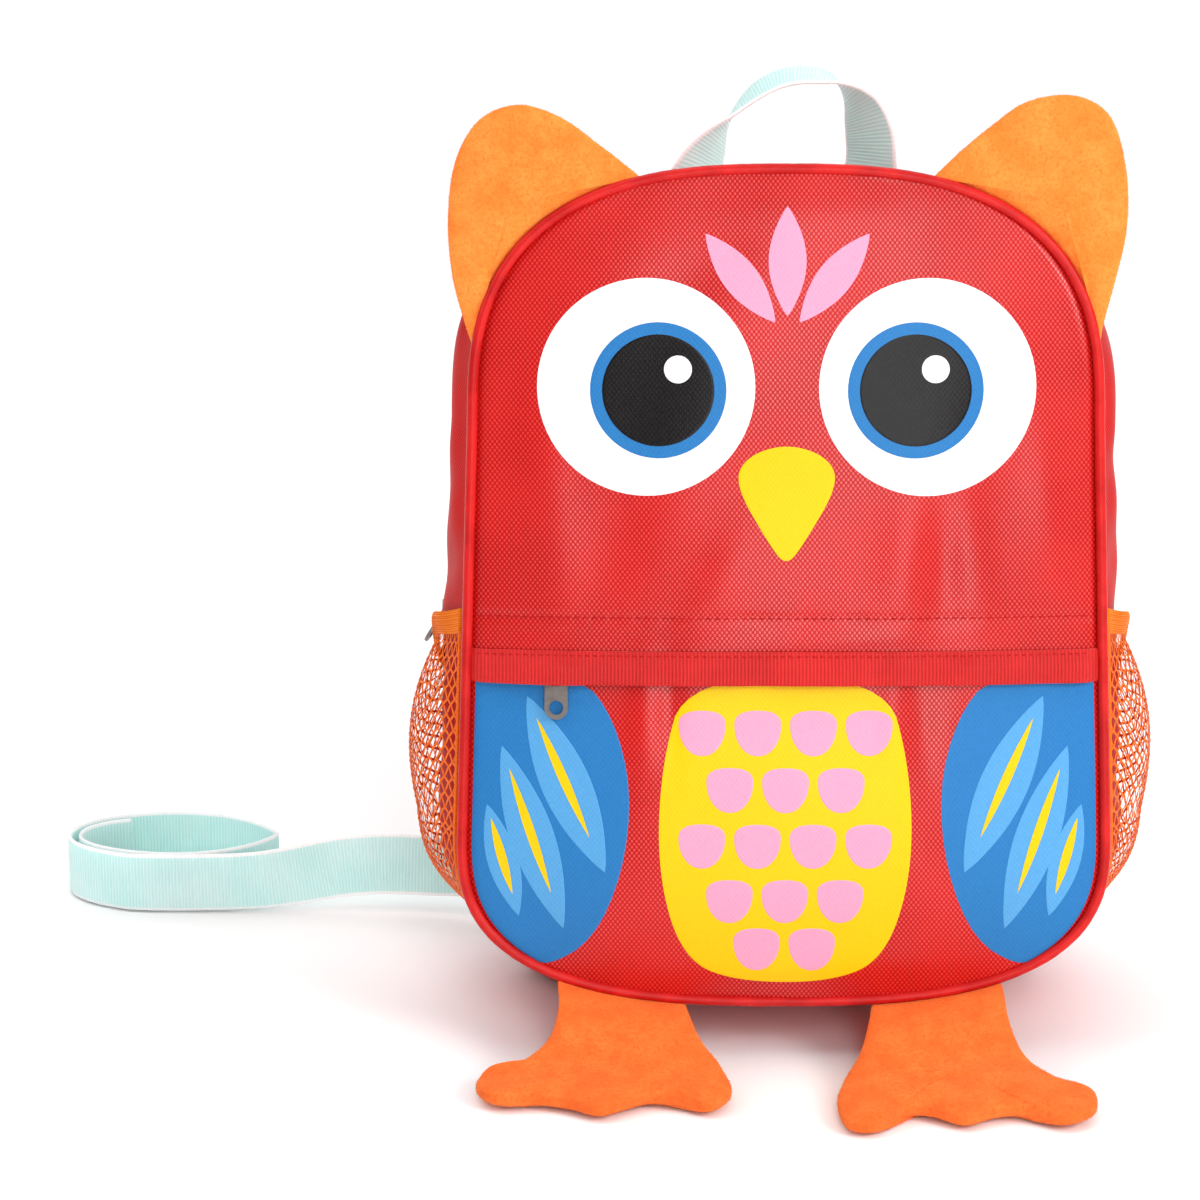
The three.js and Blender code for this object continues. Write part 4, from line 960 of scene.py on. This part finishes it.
def box_cross(middle, along, across, out, half_long, half_wide):
    """A box of stitches with a cross in it, as a strap's end is sewn."""
    signs = ((-1, -1), (1, -1), (1, 1), (-1, 1))
    corners = [middle + along * half_long * a + across * half_wide * b for a, b in signs]
    rows = []
    for start, end in ((0, 1), (1, 2), (2, 3), (3, 0), (0, 2), (1, 3)):
        path = np.linspace(corners[start], corners[end], 20)
        rows.append(stitch_row(path, np.broadcast_to(out, path.shape), BOX_STITCH.pitch, BOX_STITCH.radius))
    return joined(rows)


def surface_normals(point, u, v, lift):
    step = 0.0005
    across = point(u + step, v, lift) - point(u - step, v, lift)
    up = point(u, v + step, lift) - point(u, v - step, lift)
    return unit(np.cross(across, up))


def add_front_stitches():
    share = np.linspace(-1, 1, 700)
    rows = []
    seams = ((BAND_STITCH_HEIGHT, STITCH.pitch, False), (TAPE_STITCH_HEIGHT, 0.0026, True))
    for height, pitch, on_tape in seams:
        v = np.full_like(share, height)
        u = share * (half_width(FRONT, v) - STITCH.inset)
        lift = tape_lift(u, v, share) + COVER_TAPE.thickness if on_tape else STITCH.lift
        rows.append(stitch_row(front_point(u, v, lift), surface_normals(front_point, u, v, lift), pitch))
    add_piece("front_stitches", joined(rows), LOOKS.red_thread)


def add_back_stitches():
    small = inset_size(BACK, STITCH.back_inset)
    u, v = outline(small, even_turns(0, 4, 0.001))
    normals = np.broadcast_to(in_seam(BACK_SEAM, 0, 0, -1) - in_seam(BACK_SEAM, 0, 0, 0), (len(u), 3))
    path = back_point(u, v + STITCH.back_inset, WALL)
    add_piece("back_stitches", stitch_row(path, normals, STITCH.pitch), LOOKS.red_thread)


def add_strap_stitches():
    start = in_seam(BACK_SEAM, 0, 0, 0)
    out, up = in_seam(BACK_SEAM, 0, 0, -1) - start, in_seam(BACK_SEAM, 0, 1, 0) - start
    across = np.array([1.0, 0, 0])
    skin_lift = out * (WEBBING.thickness / 2 + WEBBING.rib_height)
    above = np.array([0, 0, BOX_STITCH.above_end])
    places = [(np.array(HANDLE_ROUTE[end][:3]) + above, BOX_STITCH.handle) for end in (0, -1)]
    places.append((np.array([0, *REIN_EXIT[1:]]), BOX_STITCH.rein))
    boxes = [box_cross(place + skin_lift, up, across, out, *halves) for place, halves in places]
    add_piece("strap_stitches", joined(boxes), LOOKS.mint_thread)


# Side pockets

def pocket_point(side, fall, depth, lift=0.0):
    """Point of a side pocket, sewn along its edges and swelling between them."""
    near_dip = np.exp(-((depth - SIDE_POCKET.dip_at) / SIDE_POCKET.dip_half) ** 2)
    sag = SIDE_POCKET.sag * np.sin(np.pi * depth) + SIDE_POCKET.dip * near_dip
    top = side_turn(SIDE_POCKET.top - sag, side)
    right = side == "right"
    bottom = 4 - SIDE_POCKET.bottom_turn if right else 3 + SIDE_POCKET.bottom_turn
    turn = lerp(top + 4 if right else top, bottom, fall)
    share = lerp(SIDE_POCKET.edge, 1 - SIDE_POCKET.edge, depth)
    below = np.clip((fall - SIDE_POCKET.band) / (1 - SIDE_POCKET.band), 0, 1)
    mouth = SIDE_POCKET.mouth * (1 - smoothstep(fall, 0, 1.4 * SIDE_POCKET.band))
    filling = np.clip(np.sin(np.pi * depth), 0, 1) ** 0.9
    swell = (mouth + SIDE_POCKET.belly * np.sin(np.pi * below ** 0.85)) * filling
    return gusset_point(turn, share, SIDE_POCKET.seam_lift + swell + lift)


def pocket_normals(side, fall, depth):
    step = 0.004
    falls = pocket_point(side, fall + step, depth) - pocket_point(side, fall - step, depth)
    depths = pocket_point(side, fall, depth + step) - pocket_point(side, fall, depth - step)
    normals = unit(np.cross(falls, depths))
    return normals if side == "left" else -normals


def add_pocket(side):
    fine = np.linspace(0, 1, 400)
    falls = run_length(pocket_point(side, fine, np.full_like(fine, 0.4)))
    height, band = falls[-1], SIDE_POCKET.band
    fall, depth = np.linspace(0, band, 49)[:, None], np.linspace(0, 1, 90)[None]
    inside = np.minimum(fall, band - fall)
    wave = np.cos(TAU * fall * height / ELASTIC.rib)
    ribs = ELASTIC.rib_height * wave * smoothstep(inside, 0, 0.1 * band)
    gathers = ELASTIC.gather_height * np.sin(TAU * depth * ELASTIC.gathers)
    fold = ELASTIC.fold * (1 - smoothstep(inside, 0, 0.08 * band))
    outer = pocket_point(side, fall, depth, ELASTIC.wall + ribs + gathers - fold)
    inner = pocket_point(side, fall + 0 * depth, depth + 0 * fall, 0)
    shape = wall(outer, inner, fall * height, depth * ELASTIC.width)
    add_piece(f"{side}_elastic", shape, LOOKS.elastic, [f"{side}_pocket_elastic"])
    net_start = np.interp(0.9 * band, fine, falls)
    add_net(side, lambda share: np.interp(lerp(net_start, height, share), falls, fine))


def add_net(side, fall_at):
    """Crossing strands that pass over and under each other, and a hem at the front and back edges."""
    strands = []
    for lean in (1, -1):
        for k in range(-NET.rows, NET.columns):
            first, last = max(0, -k), min(NET.rows, NET.columns - k)
            if last - first < 1:
                continue
            t = np.linspace(first, last, 4 * (last - first) + 1)
            depth = np.clip((k + t) / NET.columns, 0, 1)
            fall = fall_at(t / NET.rows)
            depth = depth if lean == 1 else 1 - depth
            over = NET.over * lean * np.cos(TAU * t)
            path = pocket_point(side, fall, depth, NET.lift + over)
            normals = pocket_normals(side, np.clip(fall, 0.01, 0.99), np.clip(depth, 0.01, 0.99))
            strands.append(tube(path, normals, NET.strand, 4, flat=NET.flat))
    edge = fall_at(np.linspace(0, 1, 80))
    for depth in (0.0, 1.0):
        path = pocket_point(side, edge, np.full_like(edge, depth), NET.hem_lift)
        normals = pocket_normals(side, np.clip(edge, 0.01, 0.99), np.full_like(edge, abs(depth - 0.01)))
        strands.append(tube(path, normals, NET.hem, 8))
    add_piece(f"{side}_net", joined(strands), LOOKS.net, [f"{side}_pocket_net"])


# Stuffed plush

def two_skins(top, bottom):
    """A closed form from rings on its top and bottom; the last ring of each is one point, repeated."""
    rings, count = top.shape[:2]
    layer = (rings - 1) * count + 1
    index = np.arange((rings - 1) * count).reshape(rings - 1, count)
    wrapped = np.concatenate([index, index[:, :1]], 1)
    quads = grid_quads(wrapped)
    here, ahead = index[-1], np.roll(index[-1], -1)
    fan = np.stack([here, ahead, np.full(count, layer - 1)], 1)
    rim = np.stack([wrapped[0, 1:], wrapped[0, :-1], wrapped[0, :-1] + layer, wrapped[0, 1:] + layer], 1)
    points = [np.concatenate([rows[:-1].reshape(-1, 3), rows[-1, :1]]) for rows in (top, bottom)]
    return np.concatenate(points), [np.concatenate([quads, quads[:, ::-1] + layer, rim]),
                                    np.concatenate([fan, fan[:, ::-1] + layer])]


def stuffed_form(rim, half_thickness, edge_half, to_space, rings=12):
    """A thin stuffed form inside a rim, thickest in the middle."""
    shares = np.append(np.cos(np.linspace(0, np.pi / 2, rings, endpoint=False)), 0)[:, None]
    plan = lerp(rim.mean(0), rim[None], shares[:, :, None])
    half = edge_half + (half_thickness - edge_half) * np.sqrt(1 - shares ** 3)
    return two_skins(to_space(plan[..., 0], plan[..., 1], half), to_space(plan[..., 0], plan[..., 1], -half))


def even_loop(points, count):
    lengths = run_length(points)
    return at_length(points, lengths, np.linspace(0, lengths[-1], count))


def read_points(mesh):
    points = np.empty(len(mesh.vertices) * 3, np.float32)
    mesh.vertices.foreach_get("co", points)
    return points.reshape(-1, 3)


def evaluated(piece):
    """A piece's mesh with its modifiers applied."""
    return piece.evaluated_get(bpy.context.evaluated_depsgraph_get()).data


def inflate(piece, pinned):
    """Fills a padded piece by a short cloth simulation, moving no point by more than the filling's cap."""
    mesh = piece.data
    start = read_points(mesh)
    group = piece.vertex_groups.new(name="seam")
    group.add([int(k) for k in np.flatnonzero(pinned)], 1.0, "REPLACE")
    modifier = piece.modifiers.new("fill", "CLOTH")
    settings = modifier.settings
    settings.quality = 6
    settings.mass = 0.12
    settings.tension_stiffness = settings.compression_stiffness = 22
    settings.shear_stiffness = 8
    settings.bending_stiffness = 0.4
    settings.vertex_group_mass = "seam"
    settings.use_pressure = True
    settings.uniform_pressure_force = 4
    settings.effector_weights.gravity = 0
    modifier.point_cache.frame_start = 1
    modifier.point_cache.frame_end = FILLING.frames
    for moment in range(1, FILLING.frames + 1):
        scene.frame_set(moment)
    move = read_points(evaluated(piece)) - start
    far = np.linalg.norm(move, axis=1, keepdims=True)
    moved = start + move * np.minimum(1, FILLING.cap / np.maximum(far, 1e-9))
    piece.modifiers.remove(modifier)
    piece.vertex_groups.clear()
    scene.frame_set(1)
    mesh.vertices.foreach_set("co", moved.astype(np.float32).ravel())
    mesh.update()
    smooth = piece.modifiers.new("smooth", "SUBSURF")
    smooth.levels = smooth.render_levels = 1


def add_pile(piece, name, seed):
    """Short plush hairs over a piece, each a thin closed cone leaning a little."""
    rng = np.random.default_rng(seed)
    shape = evaluated(piece)
    shape.calc_loop_triangles()
    triangles = np.empty(len(shape.loop_triangles) * 3, np.int32)
    shape.loop_triangles.foreach_get("vertices", triangles)
    corners = read_points(shape)[triangles.reshape(-1, 3)].astype(float)
    cross = np.cross(corners[:, 1] - corners[:, 0], corners[:, 2] - corners[:, 0])
    areas = np.linalg.norm(cross, axis=1) / 2
    count = int(areas.sum() * 1e6 * PILE.per_square_mm)
    chosen = rng.choice(len(areas), count, p=areas / areas.sum())
    a, b = rng.random((2, count, 1))
    a, b = np.where(a + b > 1, 1 - a, a), np.where(a + b > 1, 1 - b, b)
    three = corners[chosen]
    roots = three[:, 0] + a * (three[:, 1] - three[:, 0]) + b * (three[:, 2] - three[:, 0])
    normals = unit(cross[chosen])
    brushed = ripple(roots[:, :1], roots[:, 1:2] + roots[:, 2:], *PILE.patches)
    scatter = PILE.scatter * rng.normal(size=(count, 3))
    lean = unit(normals + scatter + np.array(PILE.brushed) * (1 + brushed))
    first = unit(np.cross(lean, np.array([0.31, 0.67, 0.49])))
    second = np.cross(lean, first)
    sizes = PILE.length * rng.uniform(*PILE.lengths, (count, 1))
    angles = np.arange(3) * TAU / 3
    around = [math.cos(t) * first + math.sin(t) * second for t in angles]
    feet = [roots - normals * PILE.root + PILE.radius * way for way in around]
    rows = np.stack([*feet, roots + lean * sizes], 1)
    index = np.arange(count * 4).reshape(count, 4)
    faces = np.concatenate([index[:, face] for face in ([0, 1, 3], [1, 2, 3], [2, 0, 3], [0, 2, 1])])
    add_piece(name, (rows.reshape(-1, 3), [faces]), piece.data.materials[0], sharp=180)


def add_plush(name, look, size, seam, edge, to_space, seed):
    """A stuffed plush piece between its seam and its free edge, filled and covered with pile."""
    free = smooth_route(np.concatenate([seam[:1], edge, seam[-1:]]), STEP.route, 2)
    rim = np.concatenate([even_loop(row, count)[:-1] for row, count in zip((free, seam[::-1]), size.points)])
    shape = stuffed_form(rim, size.half_thickness, size.edge_half, to_space)
    piece = add_piece(f"{name}_plush", shape, look, [name], sharp=180)
    pinned = shape[0][:, 2] < FILLING.on_floor
    for start in (0, len(shape[0]) // 2):
        pinned[start + size.points[0] - 1:start + len(rim)] = True
    inflate(piece, pinned)
    add_pile(piece, f"{name}_pile", seed)


def add_ear(side, seed):
    share = np.linspace(EAR.base_top, EAR.base_bottom, 40)
    turn = 1 + share if side == "right" else 2 - share
    around = np.stack(outline(FRONT, turn + 0.01)) - np.stack(outline(FRONT, turn - 0.01))
    out = unit(np.stack([around[1], -around[0]], 1))
    seam = np.stack(outline(FRONT, turn), 1) + out * EAR.base_clear

    def to_space(u, v, thickness):
        return in_seam(FRONT_SEAM, u, v, thickness - EAR.setback)

    add_plush(f"{side}_ear", LOOKS.ear_plush, EAR, seam, EAR_EDGES[side], to_space, seed)


def base_edge(u):
    return FRONT.base_corner * (1 - rounded(np.clip(np.abs(u) / FRONT.base_half, 0, 0.95)))


def foot_point(x, y, thickness):
    """The foot hangs from the seam under the piping, bends forward and lies on the floor."""
    seam = in_seam(FRONT_SEAM, x, base_edge(x), 0)
    lying = smoothstep(seam[..., 1] - y, 0, FOOT.bend)
    height = lerp(seam[..., 2] - FOOT.base_drop, FOOT.half_thickness, lying)
    return np.stack([x, y, height + thickness * lerp(FOOT.seam_share, 1, lying)], -1)


def add_foot(side, seed):
    u = np.linspace(*FOOT_SEAMS[side], 40)
    seam = in_seam(FRONT_SEAM, u, base_edge(u), FOOT.seam_ahead)[:, :2]
    # the feet take the darker copy of the ears' plush, its darkness painted shade
    add_plush(f"{side}_foot", LOOKS.foot_plush, FOOT, seam, FOOT_EDGES[side], foot_point, seed)


# Shoulder straps

def add_shoulder_strap(side):
    strip = strap_stations(side, 0, SHOULDER_STRAP.pad_end, 0.003)
    angles = np.arange(40) * TAU / 40
    wide = np.sign(np.cos(angles)) * np.abs(np.cos(angles)) ** 0.5
    deep = np.sign(np.sin(angles)) * np.abs(np.sin(angles)) ** 0.8
    along = run_length(strip.place)
    ends = np.minimum(along, along[-1] - along)
    full = lerp(SHOULDER_STRAP.end_share, 1, smoothstep(ends, 0, SHOULDER_STRAP.end_taper))
    half_wide = SHOULDER_STRAP.width / 2 * SHOULDER_STRAP.pad_wide
    half_deep = SHOULDER_STRAP.thickness / 2 * SHOULDER_STRAP.pad_deep
    rings = (strip.place[:, None] + strip.across[:, None] * (half_wide * wide)[:, None]
             + strip.through[:, None] * (half_deep * deep * full[:, None])[:, :, None])
    cloth = np.stack(np.broadcast_arrays(half_wide * wide, along[:, None]), -1).reshape(-1, 2)
    shape = (*skin(rings), cloth)
    pad = add_piece(f"{side}_strap_pad", shape, LOOKS.polyester, [f"{side}_shoulder_strap"])
    ends_pinned = np.zeros(rings.shape[:2], bool)
    ends_pinned[:3] = ends_pinned[-3:] = True
    inflate(pad, ends_pinned.ravel())
    edges = [strip.place + strip.across * half_wide * sign for sign in (-1, 1)]
    binding = joined([tube(edge, strip.through, SHOULDER_STRAP.binding, 10) for edge in edges])
    add_piece(f"{side}_strap_binding", binding, LOOKS.piping)


def add_strap_adjuster(side):
    """A ladder buckle: two sides and three bars that the webbing goes round."""
    strip = strap_stations(side, SHOULDER_STRAP.pad_end, SHOULDER_STRAP.adjuster_end, 0.0005)
    last = len(strip.place) - 1
    half = (SHOULDER_STRAP.webbing_width + SHOULDER_STRAP.buckle_extra) / 2
    thick = SHOULDER_STRAP.plate / 2
    bars = []
    for share in (0.1, 0.5, 0.9):
        k = [round(share * last)]
        middle, across = strip.place[k], strip.across[k] * half
        bars.append(capsules(middle - across, middle + across, strip.through[k], thick * 1.1, flat=0.8,
                             sides=14))
    for sign in (-1, 1):
        edge = strip.place + strip.across * sign * (half - thick)
        bars.append(capsules(edge[:1], edge[-1:], strip.through[:1], thick * 1.2, flat=0.85, sides=14))
    add_piece(f"{side}_adjuster", joined(bars), LOOKS.plastic, [f"{side}_strap_adjuster"])


def add_strap_webbing(side):
    strip = strap_stations(side, SHOULDER_STRAP.adjuster_end - SHOULDER_STRAP.tuck, 1, WEBBING.step)
    shape = ribbon(strip, SHOULDER_STRAP.webbing_width)
    add_piece(f"{side}_lower_webbing", shape, LOOKS.webbing, [f"{side}_strap_webbing"])


# Owl's face, wings and bib, as films printed on the front

def softened(corners, rounds=3):
    """A smooth closed outline from a few corners."""
    points = np.asarray(corners, float)
    for _ in range(rounds):
        ahead = np.roll(points, -1, 0)
        points = np.stack([lerp(points, ahead, 0.25), lerp(points, ahead, 0.75)], 1).reshape(-1, 2)
    return points


def circle(u, v, radius):
    angles = np.arange(72) * TAU / 72
    return np.stack([u + radius * np.cos(angles), v + radius * np.sin(angles)], 1)


def leaf(start, end, width):
    """A leaf, pointed at both ends."""
    start, end = np.array(start), np.array(end)
    along = end - start
    side = unit(np.array([-along[1], along[0]])) * width / 2
    share = np.linspace(0, 1, 25)[:, None]
    edge = side * np.sin(np.pi * share) ** 0.85
    return np.concatenate([start + along * share + edge, (start + along * share - edge)[-2:0:-1]])


def film(edge, lift):
    """A thin print over an outline of the front, its edge worn a little lower than its middle."""
    middle = edge.mean(0)
    reach = np.linalg.norm(edge - middle, axis=1).max()
    inner = np.linspace(1 - FILM.inner / reach, 0, max(4, round(reach / FILM.ring)))
    shares = np.concatenate([[1, 1 - FILM.rim / reach], inner])
    plan = lerp(middle, edge[None], shares[:, None, None])
    u, v = plan[..., 0], plan[..., 1]
    worn = np.where(np.arange(len(shares)) == 0, FILM.worn, 0)[:, None]
    flat = np.concatenate([plan[:-1].reshape(-1, 2), plan[-1, :1]])
    skins = two_skins(front_point(u, v, lift - worn), front_point(u, v, lift - FILM.depth))
    return (*skins, np.tile(flat, (2, 1)))


def add_prints(name, look, lift, edges):
    films = [film(np.asarray(edge), lift) for edge in edges]
    flat = np.concatenate([places for *_, places in films])
    add_piece(name, (*joined(films), flat), look)


def mirrored(make):
    return [np.asarray(make(sign)) for sign in (-1, 1)]


def wing(sign):
    v = np.linspace(0.012, 0.1122, 26)
    outer = np.stack([half_width(FRONT, v) - 0.0032, v], 1)
    inner = [(0.068, 0.1122), (0.057, 0.098), (0.051, 0.074), (0.054, 0.046), (0.064, 0.022)]
    return softened(np.concatenate([outer, inner]), 2) * (sign, 1)


def add_owl():
    low, middle, high, top = FILM_LIFTS
    eyes = (("eye_whites", LOOKS.white, low, 0.0465, 0, 0.2085, 0.036),
            ("eye_rings", LOOKS.blue, middle, 0.0425, 0, 0.2075, 0.0225),
            ("eye_pupils", LOOKS.black, high, 0.0425, 0, 0.2075, 0.0185),
            ("eye_glints", LOOKS.white, top, 0.0425, 0.0065, 0.2145, 0.0046))
    for name, look, lift, apart, aside, v, radius in eyes:
        circles = [circle(sign * apart + aside, v, radius) for sign in (-1, 1)]
        add_prints(name, look, lift, circles)
    tuft = [leaf((0, 0.232), (0, 0.268), 0.0125)]
    tuft += mirrored(lambda sign: leaf((sign * 0.004, 0.230), (sign * 0.027, 0.259), 0.0115))
    add_prints("forehead_tuft", LOOKS.pink, middle, tuft)
    beak = softened([(0, 0.190), (0.013, 0.186), (0.0175, 0.177), (0.006, 0.157), (0, 0.149), (-0.006, 0.157),
                     (-0.0175, 0.177), (-0.013, 0.186)])
    add_prints("beak", LOOKS.yellow, middle, [beak])
    add_prints("wings", LOOKS.blue, low, mirrored(wing))
    feathers = [((0.086, 0.105), (0.060, 0.046), 0.0165), ((0.0945, 0.088), (0.074, 0.026), 0.0150),
                ((0.0995, 0.068), (0.089, 0.030), 0.0105)]
    leaves, ribs = [], []
    for sign in (-1, 1):
        for (start_u, start_v), (end_u, end_v), width in feathers:
            start, end = np.array((sign * start_u, start_v)), np.array((sign * end_u, end_v))
            leaves.append(leaf(start, end, width))
            ribs.append(leaf(lerp(start, end, 0.12), lerp(start, end, 0.8), 0.0032))
    add_prints("wing_feathers", LOOKS.sky, middle, leaves)
    add_prints("feather_ribs", LOOKS.yellow, high, ribs)
    half_bib = [(0.016, 0.0075), (0.034, 0.016), (0.0425, 0.046), (0.0415, 0.082), (0.033, 0.1122)]
    bib = softened([*half_bib, *[(-u, v) for u, v in half_bib[::-1]]])
    add_prints("bib", LOOKS.yellow, low, [bib])
    petal = softened([(-0.5, 0.5), (0.5, 0.5), (0.5, -0.1), (0.22, -0.5), (-0.22, -0.5), (-0.5, -0.1)])
    petals = []
    for v, count in ((0.0935, 4), (0.0745, 3), (0.0555, 4), (0.0365, 3), (0.0195, 2)):
        for k in range(count):
            petals.append(petal * (0.0155, 0.0150) + ((k - (count - 1) / 2) * 0.0185, v))
    add_prints("bib_feathers", LOOKS.pink, middle, petals)


# Metal and floor

def dress_metal():
    """The zips' metal keeps its CAD form, with its edges eased."""
    for node in ("front_zip_slider", "front_zip_pull", "main_zip_slider", "main_zip_pull"):
        piece = bpy.data.objects[node]
        piece.data.materials.clear()
        piece.data.materials.append(LOOKS.metal)
        bevel = piece.modifiers.new("edges", "BEVEL")
        bevel.width = 0.00014
        bevel.segments = 2


def add_floor():
    reach, height = 6, -0.0004
    mesh = bpy.data.meshes.new("floor")
    corners = [(x * reach, y * reach, height) for x, y in ((-1, -1), (1, -1), (1, 1), (-1, 1))]
    mesh.from_pydata(corners, [], [(0, 1, 2, 3)])
    mesh.materials.append(floor_look())
    floor = bpy.data.objects.new("floor", mesh)
    scene.collection.objects.link(floor)


make_camera()
make_light()
add_floor()
add_panels()
add_piping()
add_gusset()
add_zip_teeth()
add_cover_tape()
add_front_stitches()
add_back_stitches()
add_owl()
for number, side in enumerate(SIDES):
    add_pocket(side)
    add_ear(side, 11 + number)
    add_foot(side, 21 + number)
    add_shoulder_strap(side)
    add_strap_adjuster(side)
    add_strap_webbing(side)
add_rein()
add_handle()
add_strap_stitches()
dress_metal()
